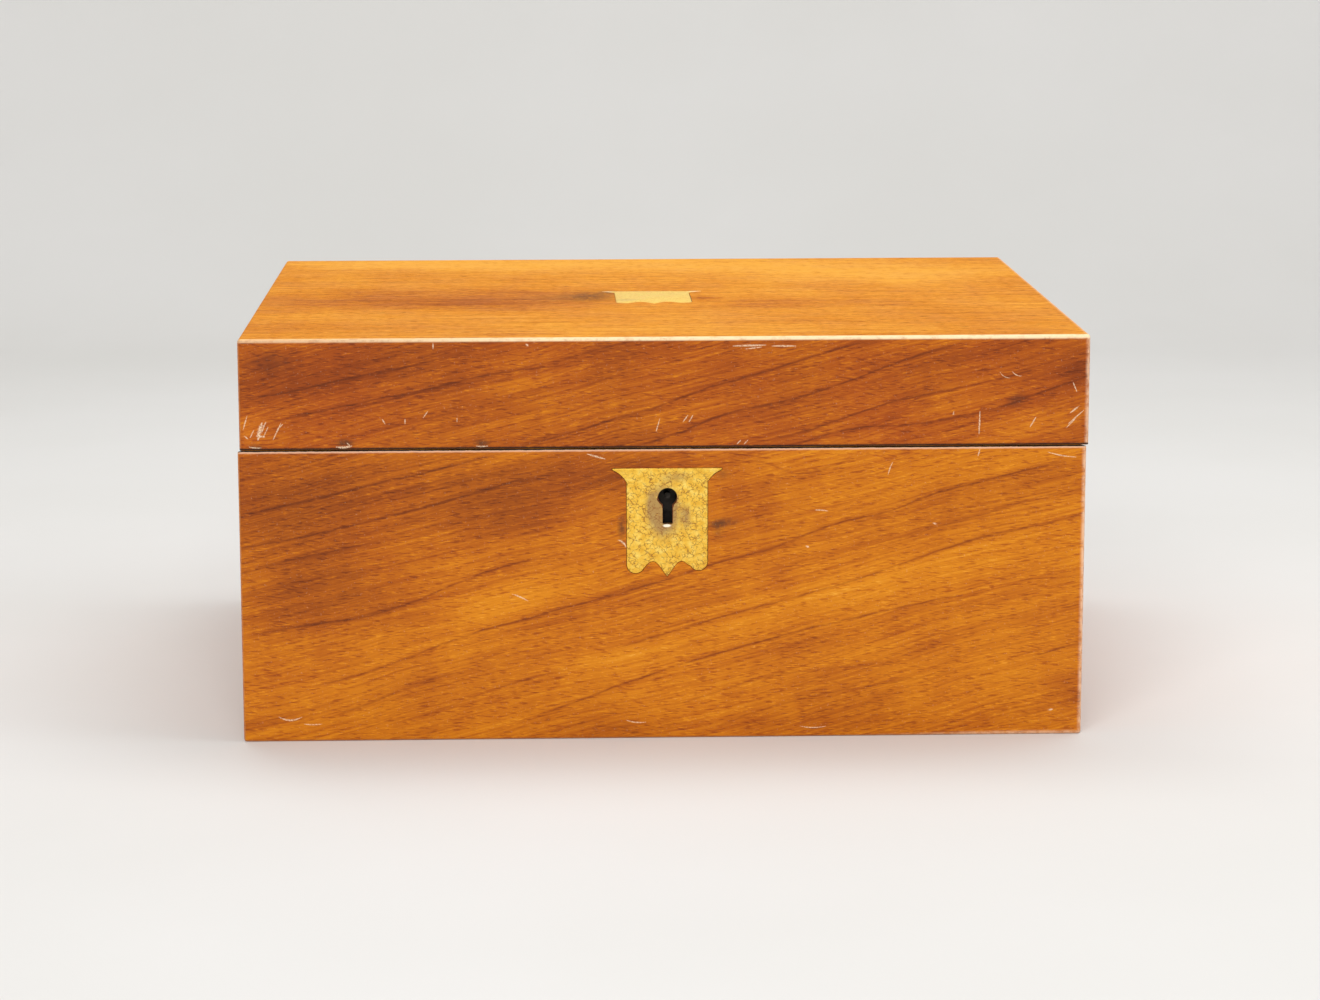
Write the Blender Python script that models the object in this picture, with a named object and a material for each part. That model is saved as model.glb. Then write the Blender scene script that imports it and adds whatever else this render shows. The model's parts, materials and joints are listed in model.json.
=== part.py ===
"""Lap desk: a writing slope that folds into a veneered box.

The box splits along a sloping plane through the hinge pins, so that the two
halves make one continuous slope when the lid lies open on the table.
Metres, +Z up, front (lock side) towards -Y, origin under the centre of the base.
"""

import math

import bmesh
import bpy
from mathutils import Matrix, Vector

# The closed box
WIDTH = 0.305
DEPTH = 0.254
FRONT_SEAM_HEIGHT = 0.107
LID_FRONT_HEIGHT = 0.0401
SEAM_GAP = 0.0005
LID_SHIFT = 0.0007

# Carcass
VENEER = 0.001
GLUE_LINE = 0.0003
WALL = 0.009
BOTTOM_BOARD = 0.006
TOP_BOARD = 0.007
EDGE_ROUND = 0.0006

# Main hinges, whose pins lie just behind the back face
PIN_PROUD = 0.0006
HINGE_LENGTH = 0.038
HINGE_INSET = 0.0545
HINGE_KNUCKLE_RADIUS = 0.0022
HINGE_PIN_RADIUS = 0.001
HINGE_LEAF = 0.0015
HINGE_LEAF_WIDTH = 0.0086
HINGE_MIDDLE_KNUCKLE = 0.0124
PIN_CLEARANCE = 0.00015

# Writing flaps, sunk a little below the rims
FLAP_SUNK = 0.0012
FLAP_BOARD = 0.005
FLAP_SIDE_CLEARANCE = 0.0008
FLAP_END_CLEARANCE = 0.0008
FLAP_BORDER = 0.013
LEATHER = 0.0007
LEATHER_RECESS = 0.001
LEATHER_CORNER = 0.004
TAB_WIDTH = 0.012
TAB_LENGTH = 0.020
TAB_THICKNESS = 0.0004
TAB_INSET = 0.002

# Fixed rails and ledges that carry the flaps
HINGE_RAIL_WIDTH = 0.013
HINGE_RAIL_DEPTH = 0.012
LEDGE_WIDTH = 0.007
LEDGE_DEPTH = 0.006

# Small flap hinges
FLAP_HINGE_LENGTH = 0.022
FLAP_HINGE_INSET = 0.0645
FLAP_KNUCKLE_RADIUS = 0.0013
FLAP_KNUCKLE_SUNK = 0.0004
FLAP_PIN_RADIUS = 0.0006
FLAP_LEAF = 0.0008
FLAP_LEAF_WIDTH = 0.0068
FLAP_MIDDLE_KNUCKLE = 0.0082
FLAP_HINGE_GROOVE = 0.0009
KNUCKLE_CLEARANCE = 0.0004

# Pen section behind the front board
PEN_SECTION = 0.048
PEN_RAIL = 0.0065
WELL_DEPTH = 0.0465
PEN_FLOOR = 0.004
DIVIDER = 0.005
DIVIDER_SUNK = 0.0015
WELL_LENGTH = 0.043
TRAY_SUNK = 0.0028
TRAY_THICKNESS = 0.018
TRAY_LEDGE = 0.0035
TRAY_END_WALL = 0.006
TROUGH_RADIUS = 0.020
TROUGH_DEPTH = 0.013

# Glass inkwells with turned brass caps
BOTTLE_SIDE = 0.034
BOTTLE_BODY_HEIGHT = 0.030
BOTTLE_CORNER = 0.004
BOTTLE_WALL = 0.0035
SHOULDER_HEIGHT = 0.004
NECK_RADIUS = 0.0095
NECK_HEIGHT = 0.0065
MOUTH_RADIUS = 0.0068
CAP_RADIUS = 0.0122
CAP_SKIRT_LIFT = 0.0012
CAP_TOP_WALL = 0.0014
CAP_KNURL = 0.0004
CAP_DOME = 0.0012

# Lock in the front board, with the key's entry in the escutcheon
LOCK_X = 0.0014
CASE_WIDTH = 0.036
CASE_WALL = 0.0008
CASE_INSIDE_DEPTH = 0.0056
CASE_DROP = 0.034
COVER_PLATE = 0.0008
SELVEDGE_OVERHANG = 0.005
SELVEDGE = 0.0012
SELVEDGE_BREADTH = 0.0074
STAPLE_FROM_CASE_END = 0.0095
STAPLE_THICKNESS = 0.002
STAPLE_BREADTH = 0.0036
STAPLE_REACH = 0.008
STAPLE_EYE_BREADTH = 0.002
STAPLE_EYE_LENGTH = 0.0034
STAPLE_EYE_DEPTH = 0.005
STAPLE_SLOT_CLEARANCE = 0.0006
LINK_PLATE_SHORTER = 0.002
BOLT_THICKNESS = 0.0018
BOLT_FINGER = 0.0012
BOLT_FINGER_HEIGHT = 0.0018
BOLT_FINGER_LENGTH = 0.0042
BOLT_POST = 0.0022
BOLT_BAR = 0.0042
BOLT_BAR_CLEARANCE = 0.0005
BOLT_REST_CLEARANCE = 0.0006
DRILL_PIN_RADIUS = 0.0011
KEYHOLE_RADIUS = 0.0034
KEYHOLE_SLOT_WIDTH = 0.0035
KEYHOLE_DROP = 0.0181
KEYHOLE_SLOT_REACH = 0.0098

# Inlaid brass plates: the escutcheon and the cartouche on the lid
PLATE_X = 0.0012
PLATE_DROP = 0.0074
PLATE_EAR_HALF = 0.0197
PLATE_BODY_HALF = 0.0146
PLATE_EAR_EDGE = 0.0005
PLATE_NECK_DROP = 0.005
PLATE_LENGTH = 0.0396
PLATE_LOBE_RADIUS = 0.0034
PLATE_LOBE_RISE = 0.0018
CARTOUCHE_FORWARD = 0.009
EAR_CURVE_SHARE = 0.08
ARCH_SHARES = ((0.50, 0.97), (0.40, 1.10), (0.28, 1.13), (0.20, 0.94), (0.125, 0.58))

# Turn button on the lid's front rim
BUTTON_FROM_SIDE = 0.0525
BUTTON_RADIUS = 0.0027
BUTTON_REACH = 0.0125
BUTTON_TIP_HALF = 0.0018
BUTTON_THICKNESS = 0.0012
BUTTON_SUNK = 0.0006
BUTTON_INSET = 0.0042

# Drawing values
OVERRUN = 0.002
BARREL_SIDES = 16
CAP_SIDES = 32
BOTTLE_SIDES = 24
TROUGH_SIDES = 64
LOBE_STEPS = 6
SWEEP_STEPS = 8
KEYHOLE_STEPS = 20
LEATHER_CORNER_STEPS = 3
EASE_STEPS = 2
METAL_SMOOTH_DEGREES = 35
MOULDED_SMOOTH_DEGREES = 40

BASE = -1
LID = 1

# Places worked out from the sizes above
HEIGHT = FRONT_SEAM_HEIGHT + LID_FRONT_HEIGHT
PIN_Y = DEPTH / 2 + PIN_PROUD
PIN_Z = HEIGHT / 2
SLOPE = math.atan2(FRONT_SEAM_HEIGHT - PIN_Z, DEPTH / 2 + PIN_Y)
RIM = SEAM_GAP / 2
SHELL = VENEER + GLUE_LINE + WALL
INNER_X = WIDTH / 2 - SHELL
INNER_Y = DEPTH / 2 - SHELL
BOARD_X = WIDTH / 2 - VENEER - GLUE_LINE
BOARD_Y = DEPTH / 2 - VENEER - GLUE_LINE
PEN_RAIL_FRONT = -INNER_Y + PEN_SECTION
PEN_RAIL_BACK = PEN_RAIL_FRONT + PEN_RAIL
TRAY_TOP_HEIGHT = PIN_Z + (PIN_Y - PEN_RAIL_FRONT) * math.tan(SLOPE) - TRAY_SUNK
WELL_FLOOR = TRAY_TOP_HEIGHT - WELL_DEPTH
PEN_FLOOR_HEIGHT = WELL_FLOOR - PEN_FLOOR
FLAP_UNDER = FLAP_SUNK + FLAP_BOARD
FLAP_PIN_DEPTH = FLAP_KNUCKLE_SUNK + FLAP_KNUCKLE_RADIUS
HINGE_PLACE_X = WIDTH / 2 - HINGE_INSET
FLAP_HINGE_PLACE_X = WIDTH / 2 - FLAP_HINGE_INSET
BUTTON_X = WIDTH / 2 - BUTTON_FROM_SIDE
PLATE_TOP_HEIGHT = FRONT_SEAM_HEIGHT - PLATE_DROP
KEYHOLE_HEIGHT = FRONT_SEAM_HEIGHT - KEYHOLE_DROP
KEYHOLE_SLOT_FOOT = KEYHOLE_HEIGHT - KEYHOLE_SLOT_REACH
CASE_BOTTOM_HEIGHT = FRONT_SEAM_HEIGHT - CASE_DROP
CARTOUCHE_TOP_Y = PLATE_LENGTH / 2 - CARTOUCHE_FORWARD
STAPLE_PLACE_X = CASE_WIDTH / 2 - STAPLE_FROM_CASE_END
SELVEDGE_WIDTH = CASE_WIDTH + 2 * SELVEDGE_OVERHANG
LINK_PLATE_WIDTH = SELVEDGE_WIDTH - 2 * LINK_PLATE_SHORTER


def srgb(red, green, blue):
    """Linear colour from the 0 to 255 values a picture shows."""
    def linear(value):
        share = value / 255
        return share / 12.92 if share <= 0.04045 else ((share + 0.055) / 1.055) ** 2.4
    return (linear(red), linear(green), linear(blue), 1.0)


# Finish: colour, roughness, metallic
FINISHES = {
    "veneer": (srgb(184, 98, 40), 0.32, 0.0),
    "carcass": (srgb(150, 92, 52), 0.6, 0.0),
    "brass": (srgb(222, 182, 92), 0.35, 1.0),
    "steel": (srgb(120, 118, 114), 0.45, 1.0),
    "glass": (srgb(214, 226, 222), 0.08, 0.0),
    "leather": (srgb(52, 30, 58), 0.55, 0.0),
    "ribbon": (srgb(92, 28, 34), 0.75, 0.0),
}


def finish(name, piece_name):
    """A material of its own for each piece, from the shared table."""
    colour, roughness, metallic = FINISHES[name]
    material = bpy.data.materials.new(f"{piece_name}_{name}")
    material.use_nodes = True
    shader = material.node_tree.nodes["Principled BSDF"]
    shader.inputs["Base Color"].default_value = colour
    shader.inputs["Roughness"].default_value = roughness
    shader.inputs["Metallic"].default_value = metallic
    material.diffuse_color = colour
    return material


# The slope: a frame with X across, S up the slope from the pins to the front,
# and D into the wood of one half, square to the plane between the halves
UP_SLOPE = Vector((0, -math.cos(SLOPE), math.sin(SLOPE)))
OFF_SLOPE = Vector((0, math.sin(SLOPE), math.cos(SLOPE)))


def slope_frame(half):
    """Matrix from (x, s, d) of the base or the lid to the world."""
    matrix = Matrix((Vector((1, 0, 0)), UP_SLOPE, OFF_SLOPE * half)).transposed().to_4x4()
    matrix.translation = (0, PIN_Y, PIN_Z)
    return matrix


def seam_z(y, half, depth):
    """Height of the plane that lies depth into one half."""
    return PIN_Z + (PIN_Y - y) * math.tan(SLOPE) + half * depth / math.cos(SLOPE)


def slope_s(y, half, depth):
    """Distance up the slope of the point of that plane over y."""
    return (PIN_Y - y + half * depth * math.sin(SLOPE)) / math.cos(SLOPE)


# Building blocks
def face_outwards(shape):
    """Turns every face of a closed shape outwards."""
    bmesh.ops.recalc_face_normals(shape, faces=shape.faces)
    if shape.calc_volume(signed=True) < 0:
        bmesh.ops.reverse_faces(shape, faces=shape.faces)


def block(low, high):
    """Box between two corners."""
    shape = bmesh.new()
    bmesh.ops.create_cube(shape, size=1)
    for vert in shape.verts:
        for axis in range(3):
            vert.co[axis] = high[axis] if vert.co[axis] > 0 else low[axis]
    return shape


def prism(outline, low, high, place):
    """Outline drawn flat, made solid from low to high. place turns (u, v, w) into a point."""
    shape = bmesh.new()
    floor = shape.faces.new([shape.verts.new(place(u, v, low)) for u, v in outline])
    grown = bmesh.ops.extrude_face_region(shape, geom=[floor])
    roof = [item for item in grown["geom"] if isinstance(item, bmesh.types.BMVert)]
    bmesh.ops.translate(shape, verts=roof, vec=Vector(place(0, 0, high)) - Vector(place(0, 0, low)))
    face_outwards(shape)
    return shape


def along_x(u, v, w):
    """Outline in Y and Z, solid along X."""
    return (w, u, v)


def along_y(u, v, w):
    """Outline in X and Z, solid along Y."""
    return (u, w, v)


def along_z(u, v, w):
    """Outline in X and Y, solid along Z."""
    return (u, v, w)


def circle(centre, radius, sides, start=0.0):
    """Points round a centre in a flat outline."""
    steps = [start + 2 * math.pi * step / sides for step in range(sides)]
    return [(centre[0] + radius * math.cos(a), centre[1] + radius * math.sin(a)) for a in steps]


def arc(centre, radius, first, last, steps):
    """Points from one angle to another, both included, in degrees."""
    angles = [math.radians(first + (last - first) * step / steps) for step in range(steps + 1)]
    return [(centre[0] + radius * math.cos(a), centre[1] + radius * math.sin(a)) for a in angles]


def rings(levels):
    """Closed solid through rings of points, each with the same count, capped at both ends."""
    shape = bmesh.new()
    loops = [[shape.verts.new(point) for point in level] for level in levels]
    for lower, upper in zip(loops, loops[1:]):
        for i in range(len(lower)):
            j = (i + 1) % len(lower)
            shape.faces.new((lower[i], lower[j], upper[j], upper[i]))
    shape.faces.new(loops[0])
    shape.faces.new(loops[-1])
    face_outwards(shape)
    return shape


def on_slope(shape, half, shift=0.0):
    """Carries a shape drawn in (x, s, d) to its half of the box."""
    shape.transform(Matrix.Translation((shift, 0, 0)) @ slope_frame(half))
    face_outwards(shape)
    return shape


def solid(shape, name):
    """Object from a bmesh, at the world's origin."""
    mesh = bpy.data.meshes.new(name)
    shape.to_mesh(mesh)
    shape.free()
    made = bpy.data.objects.new(name, mesh)
    bpy.context.scene.collection.objects.link(made)
    return made


def combine(target, shape, operation):
    """Cuts a shape from the target, or joins it on, and keeps the plain result."""
    tool = solid(shape, f"{target.name}_tool")
    boolean = target.modifiers.new("shape", "BOOLEAN")
    boolean.operation = operation
    boolean.solver = "EXACT"
    boolean.object = tool
    graph = bpy.context.evaluated_depsgraph_get()
    result = bpy.data.meshes.new_from_object(target.evaluated_get(graph))
    target.modifiers.clear()
    target.data = result
    bpy.data.objects.remove(tool)


def cut(target, *shapes):
    for shape in shapes:
        combine(target, shape, "DIFFERENCE")


def join(target, *shapes):
    for shape in shapes:
        combine(target, shape, "UNION")


def settle(piece, finish_name, pivot, smooth_angle=None):
    """Gives a finished piece its material and hangs it on its pivot."""
    piece.data.materials.clear()
    piece.data.materials.append(finish(finish_name, piece.name))
    if smooth_angle:
        piece.data.shade_smooth()
        piece.data.set_sharp_from_angle(angle=math.radians(smooth_angle))
    place = PIVOT_PLACES[pivot.name]
    piece.data.transform(Matrix.Translation(-place))
    piece.parent = pivot
    return piece


PIVOT_PLACES = {}


def make_pivot(name, place, parent=None):
    """Empty on a joint's axis, turned as the world is."""
    pivot = bpy.data.objects.new(name, None)
    bpy.context.scene.collection.objects.link(pivot)
    PIVOT_PLACES[name] = Vector(place)
    pivot.location = place
    if parent:
        pivot.parent = parent
        pivot.location = Vector(place) - PIVOT_PLACES[parent.name]
    return pivot


# Carcass of both halves
def wall_board(half, low, high, foot, top_depth):
    """Board from a level foot to the sloping rim. low and high are (x, y) corners."""
    outline = [
        (low[1], foot),
        (high[1], foot),
        (high[1], seam_z(high[1], half, top_depth)),
        (low[1], seam_z(low[1], half, top_depth)),
    ]
    return prism(outline, low[0], high[0], along_x)


def make_boards(half, pivot, shift, foot, prefix):
    """Four walls: front and back span the width, the sides lie between them."""
    side_y = INNER_Y - GLUE_LINE
    places = {
        "front": ((-BOARD_X, -BOARD_Y), (BOARD_X, -INNER_Y)),
        "back": ((-BOARD_X, INNER_Y), (BOARD_X, BOARD_Y)),
        "left": ((-BOARD_X, -side_y), (-INNER_X, side_y)),
        "right": ((INNER_X, -side_y), (BOARD_X, side_y)),
    }
    made = {}
    for side, (low, high) in places.items():
        low = (low[0] + shift, low[1])
        high = (high[0] + shift, high[1])
        made[side] = solid(wall_board(half, low, high, foot, RIM), f"{prefix}_{side}_board")
    return made


def ease(shape, edges):
    """Rounds sharp edges as wear does."""
    bmesh.ops.bevel(
        shape, geom=edges, offset=EDGE_ROUND, segments=EASE_STEPS, profile=0.5, affect="EDGES", material=-1
    )


def ease_corners(sheet, outer_y):
    """Rounds the upright outer corners of a front or back sheet."""
    shape = bmesh.new()
    shape.from_mesh(sheet.data)
    corners = []
    for edge in shape.edges:
        first, last = (vert.co for vert in edge.verts)
        upright = abs(first.x - last.x) < VENEER / 2 and abs(first.z - last.z) > VENEER
        if upright and all(abs(vert.co.y - outer_y) < VENEER / 2 for vert in edge.verts):
            corners.append(edge)
    ease(shape, corners)
    shape.to_mesh(sheet.data)
    shape.free()


def make_veneers(half, shift, foot, prefix):
    """Veneer sheets: front and back lap the ends of the side sheets."""
    side_y = DEPTH / 2 - VENEER - GLUE_LINE
    places = {
        "front": ((-WIDTH / 2, -DEPTH / 2), (WIDTH / 2, -DEPTH / 2 + VENEER)),
        "back": ((-WIDTH / 2, DEPTH / 2 - VENEER), (WIDTH / 2, DEPTH / 2)),
        "left": ((-WIDTH / 2, -side_y), (-WIDTH / 2 + VENEER, side_y)),
        "right": ((WIDTH / 2 - VENEER, -side_y), (WIDTH / 2, side_y)),
    }
    made = {}
    for side, (low, high) in places.items():
        low = (low[0] + shift, low[1])
        high = (high[0] + shift, high[1])
        made[side] = solid(wall_board(half, low, high, foot, RIM), f"{prefix}_{side}_veneer")
    ease_corners(made["front"], -DEPTH / 2)
    ease_corners(made["back"], DEPTH / 2)
    return made


# Inlaid brass plates
def grown(outline, distance):
    """Outline with every side moved outwards. The outline runs clockwise."""
    moved = []
    for i, (u, v) in enumerate(outline):
        before = Vector((u - outline[i - 1][0], v - outline[i - 1][1])).normalized()
        ahead = outline[(i + 1) % len(outline)]
        after = Vector((ahead[0] - u, ahead[1] - v)).normalized()
        outward = Vector((-before.y - after.y, before.x + after.x))
        reach = max(1 + before.dot(after), 1 / 2)
        moved.append((u + distance * outward.x / reach, v + distance * outward.y / reach))
    return moved


def plate_outline(grow):
    """Eared plate with two round lobes and a centre point at its foot. The top edge is v = 0."""
    lobe_x = PLATE_BODY_HALF - PLATE_LOBE_RADIUS
    lobe_v = -PLATE_LENGTH + PLATE_LOBE_RISE + PLATE_LOBE_RADIUS
    ear_foot = (PLATE_EAR_HALF, -PLATE_EAR_EDGE)
    neck = (PLATE_BODY_HALF, -PLATE_NECK_DROP)
    bend = (PLATE_EAR_HALF - PLATE_BODY_HALF) * EAR_CURVE_SHARE
    middle = ((ear_foot[0] + neck[0]) / 2 - bend, (ear_foot[1] + neck[1]) / 2 + bend)
    right = [(PLATE_EAR_HALF, 0), ear_foot, middle, neck]
    right += arc((lobe_x, lobe_v), PLATE_LOBE_RADIUS, 0, -180, LOBE_STEPS)
    rise = PLATE_LENGTH + lobe_v
    right += [(PLATE_BODY_HALF * x, -PLATE_LENGTH + rise * v) for x, v in ARCH_SHARES]
    outline = right + [(0, -PLATE_LENGTH)] + [(-x, v) for x, v in reversed(right)]
    return grown(outline, grow)


def keyhole_outline(grow=0.0):
    """Round eye with a straight slot below it, in X and Z."""
    half = KEYHOLE_SLOT_WIDTH / 2 + grow
    radius = KEYHOLE_RADIUS + grow
    opening = math.degrees(math.asin(half / radius))
    centre = (LOCK_X, KEYHOLE_HEIGHT)
    round_part = arc(centre, radius, -90 + opening, 270 - opening, KEYHOLE_STEPS)
    foot = KEYHOLE_SLOT_FOOT - grow
    return round_part + [(LOCK_X - half, foot), (LOCK_X + half, foot)]


def keyhole_cutter(first_y, last_y, grow=0.0):
    return prism(keyhole_outline(grow), first_y - OVERRUN, last_y + OVERRUN, along_y)


def escutcheon_shape(grow, first_y, last_y):
    outline = [(PLATE_X + u, PLATE_TOP_HEIGHT + v) for u, v in plate_outline(grow)]
    return prism(outline, first_y, last_y, along_y)


def cartouche_shape(grow, first_z, last_z):
    outline = [(u, CARTOUCHE_TOP_Y + v) for u, v in plate_outline(grow)]
    return prism(outline, first_z, last_z, along_z)


# Main hinges
def barrel(s, depth, radius, first_x, last_x):
    """Faceted cylinder along X in slope coordinates."""
    outline = circle((s, depth), radius, BARREL_SIDES)
    return prism(outline, first_x, last_x, along_x)


def knuckle_spans(length, middle):
    """Spans of the two outer knuckles and of the middle one, about the hinge's centre."""
    half = middle / 2
    outer = half + GLUE_LINE
    return [(-length / 2, -outer), (outer, length / 2)], [(-half, half)]


def make_hinge_leaf(name, half, centre_x, own_spans, other_spans):
    """Leaf let into the rim, with its knuckles round the pin."""
    low_x = centre_x - HINGE_LENGTH / 2
    high_x = centre_x + HINGE_LENGTH / 2
    leaf = solid(block((low_x, 0, RIM), (high_x, HINGE_LEAF_WIDTH, RIM + HINGE_LEAF)), name)
    clear = HINGE_KNUCKLE_RADIUS + KNUCKLE_CLEARANCE
    for first, last in other_spans:
        reach_x = (centre_x + first - GLUE_LINE, centre_x + last + GLUE_LINE)
        cut(leaf, block((reach_x[0], -clear, -clear), (reach_x[1], clear, clear)))
    for first, last in own_spans:
        join(leaf, barrel(0, 0, HINGE_KNUCKLE_RADIUS, centre_x + first, centre_x + last))
    bore = HINGE_PIN_RADIUS + PIN_CLEARANCE
    cut(leaf, barrel(0, 0, bore, low_x - OVERRUN, high_x + OVERRUN))
    leaf.data.transform(slope_frame(half))
    face_out(leaf)
    return leaf


def face_out(piece):
    """Turns the faces outwards after a mirroring frame."""
    shape = bmesh.new()
    shape.from_mesh(piece.data)
    face_outwards(shape)
    shape.to_mesh(piece.data)
    shape.free()


def hinge_recess(half, centre_x):
    """Room in the rim for a leaf, and round the knuckles."""
    reach = HINGE_LENGTH / 2 + GLUE_LINE
    leaf_room = block(
        (centre_x - reach, -OVERRUN, -OVERRUN),
        (centre_x + reach, HINGE_LEAF_WIDTH + GLUE_LINE, RIM + HINGE_LEAF + GLUE_LINE),
    )
    knuckle_room = barrel(
        0, 0, HINGE_KNUCKLE_RADIUS + KNUCKLE_CLEARANCE, centre_x - reach, centre_x + reach
    )
    return on_slope(leaf_room, half), on_slope(knuckle_room, half)


# Flaps with their small hinges
def flap_pin_s(half):
    return hinge_rail_span(half)[1] + FLAP_HINGE_GROOVE


def hinge_rail_span(half):
    """The hinge rail's reach up the slope, clear of the upright back board."""
    depth = FLAP_SUNK if half == BASE else FLAP_SUNK + HINGE_RAIL_DEPTH
    near = slope_s(INNER_Y - GLUE_LINE, half, depth)
    return near, near + HINGE_RAIL_WIDTH


def flap_end_s(half):
    """Free edge of the flap: at the pen rail in the base, at the front board in the lid."""
    if half == BASE:
        return slope_s(PEN_RAIL_BACK, BASE, FLAP_UNDER) - FLAP_END_CLEARANCE
    return slope_s(-INNER_Y, LID, FLAP_SUNK) - FLAP_END_CLEARANCE


def flap_hinge_recess(half, centre_x):
    """Room for both leaves and the knuckles, cut from rail and flap alike."""
    pin = flap_pin_s(half)
    reach = FLAP_HINGE_LENGTH / 2 + GLUE_LINE
    wide = FLAP_LEAF_WIDTH + GLUE_LINE
    leaf_room = block(
        (centre_x - reach, pin - wide, -OVERRUN),
        (centre_x + reach, pin + wide, FLAP_SUNK + FLAP_LEAF + GLUE_LINE),
    )
    knuckle_room = barrel(
        pin, FLAP_PIN_DEPTH, FLAP_KNUCKLE_RADIUS + KNUCKLE_CLEARANCE, centre_x - reach, centre_x + reach
    )
    return leaf_room, knuckle_room


def make_flap_leaf(name, half, centre_x, fixed):
    """Fixed leaf: two outer knuckles and the pin. Moving leaf: one middle knuckle with its bore."""
    pin = flap_pin_s(half)
    outer, middle = knuckle_spans(FLAP_HINGE_LENGTH, FLAP_MIDDLE_KNUCKLE)
    own, other = (outer, middle) if fixed else (middle, outer)
    low_x = centre_x - FLAP_HINGE_LENGTH / 2
    high_x = centre_x + FLAP_HINGE_LENGTH / 2
    edges = (pin - FLAP_LEAF_WIDTH, pin) if fixed else (pin, pin + FLAP_LEAF_WIDTH)
    leaf = solid(block((low_x, edges[0], FLAP_SUNK), (high_x, edges[1], FLAP_SUNK + FLAP_LEAF)), name)
    clear = FLAP_KNUCKLE_RADIUS + KNUCKLE_CLEARANCE
    for first, last in other:
        low = (centre_x + first - GLUE_LINE, pin - clear, -clear)
        high = (centre_x + last + GLUE_LINE, pin + clear, FLAP_PIN_DEPTH + clear)
        cut(leaf, block(low, high))
    for first, last in own:
        join(leaf, barrel(pin, FLAP_PIN_DEPTH, FLAP_KNUCKLE_RADIUS, centre_x + first, centre_x + last))
    if fixed:
        join(leaf, barrel(pin, FLAP_PIN_DEPTH, FLAP_PIN_RADIUS, low_x, high_x))
    else:
        bore = FLAP_PIN_RADIUS + PIN_CLEARANCE
        cut(leaf, barrel(pin, FLAP_PIN_DEPTH, bore, low_x - OVERRUN, high_x + OVERRUN))
    leaf.data.transform(slope_frame(half))
    face_out(leaf)
    return leaf


def make_hinge_rail(half, shift, name):
    near, far = hinge_rail_span(half)
    half_width = INNER_X - GLUE_LINE
    rail = block(
        (-half_width, near, FLAP_SUNK), (half_width, far, FLAP_SUNK + HINGE_RAIL_DEPTH)
    )
    rail = solid(on_slope(rail, half, shift), name)
    for side in (-1, 1):
        leaf_room, knuckle_room = flap_hinge_recess(half, side * FLAP_HINGE_PLACE_X)
        cut(rail, on_slope(leaf_room, half), on_slope(knuckle_room, half))
    return rail


def make_flap(half, shift, name):
    """Board with a shallow bed for the leather and notches for its hinges."""
    start = flap_pin_s(half) + FLAP_HINGE_GROOVE
    half_width = INNER_X - FLAP_SIDE_CLEARANCE
    board = block((-half_width, start, FLAP_SUNK), (half_width, flap_end_s(half), FLAP_UNDER))
    flap = solid(on_slope(board, half, shift), name)
    for side in (-1, 1):
        leaf_room, knuckle_room = flap_hinge_recess(half, side * FLAP_HINGE_PLACE_X)
        cut(flap, on_slope(leaf_room, half), on_slope(knuckle_room, half))
    bed = leather_outline(half, 0.0)
    cut(flap, on_slope(prism(bed, -OVERRUN, FLAP_SUNK + LEATHER_RECESS, along_z), half, shift))
    return flap


def leather_outline(half, inset):
    """Rounded rectangle inside the flap's wooden border, in X and S."""
    half_width = INNER_X - FLAP_SIDE_CLEARANCE - FLAP_BORDER - inset
    start = flap_pin_s(half) + FLAP_HINGE_GROOVE + FLAP_BORDER + inset
    end = flap_end_s(half) - FLAP_BORDER - inset
    radius = LEATHER_CORNER
    corners = (
        ((half_width - radius, end - radius), 0),
        ((-half_width + radius, end - radius), 90),
        ((-half_width + radius, start + radius), 180),
        ((half_width - radius, start + radius), 270),
    )
    outline = []
    for centre, first in corners:
        outline += arc(centre, radius, first, first + 90, LEATHER_CORNER_STEPS)
    return outline


def make_leather(half, shift, name):
    low = FLAP_SUNK + LEATHER_RECESS - GLUE_LINE - LEATHER
    skin = prism(leather_outline(half, GLUE_LINE), low, low + LEATHER, along_z)
    return solid(on_slope(skin, half, shift), name)


def make_tab(half, shift, name):
    """Ribbon pull that lies on the free edge of a flap."""
    end = flap_end_s(half) - TAB_INSET
    low = FLAP_SUNK - GLUE_LINE - TAB_THICKNESS
    tab = block((-TAB_WIDTH / 2, end - TAB_LENGTH, low), (TAB_WIDTH / 2, end, low + TAB_THICKNESS))
    return solid(on_slope(tab, half, shift), name)


def flap_piece(half, side, fixed):
    word = "upper" if half == BASE else "lower"
    hand = "left" if side < 0 else "right"
    kind = "fixed" if fixed else "moving"
    return f"{word}_flap_{hand}_{kind}_leaf"


# Lock
def case_front_y():
    return -INNER_Y - COVER_PLATE - GLUE_LINE - CASE_INSIDE_DEPTH - CASE_WALL


def case_back_y():
    return -INNER_Y - COVER_PLATE - GLUE_LINE


def staple_s():
    """The staples' eyes lie halfway between the case's front and its cover."""
    return slope_s(case_back_y() - CASE_INSIDE_DEPTH / 2, BASE, STAPLE_EYE_DEPTH)


def selvedge_s():
    """The plates in the rims lie over the middle of the case."""
    return slope_s((case_front_y() + case_back_y()) / 2, BASE, RIM)


def selvedge_block(grow, half, width):
    """Plate let into a rim over the lock."""
    middle = selvedge_s()
    reach = width / 2 + grow
    return block(
        (LOCK_X - reach, middle - SELVEDGE_BREADTH / 2 - grow, RIM - (OVERRUN if grow else 0)),
        (LOCK_X + reach, middle + SELVEDGE_BREADTH / 2 + grow, RIM + SELVEDGE + grow),
    )


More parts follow.
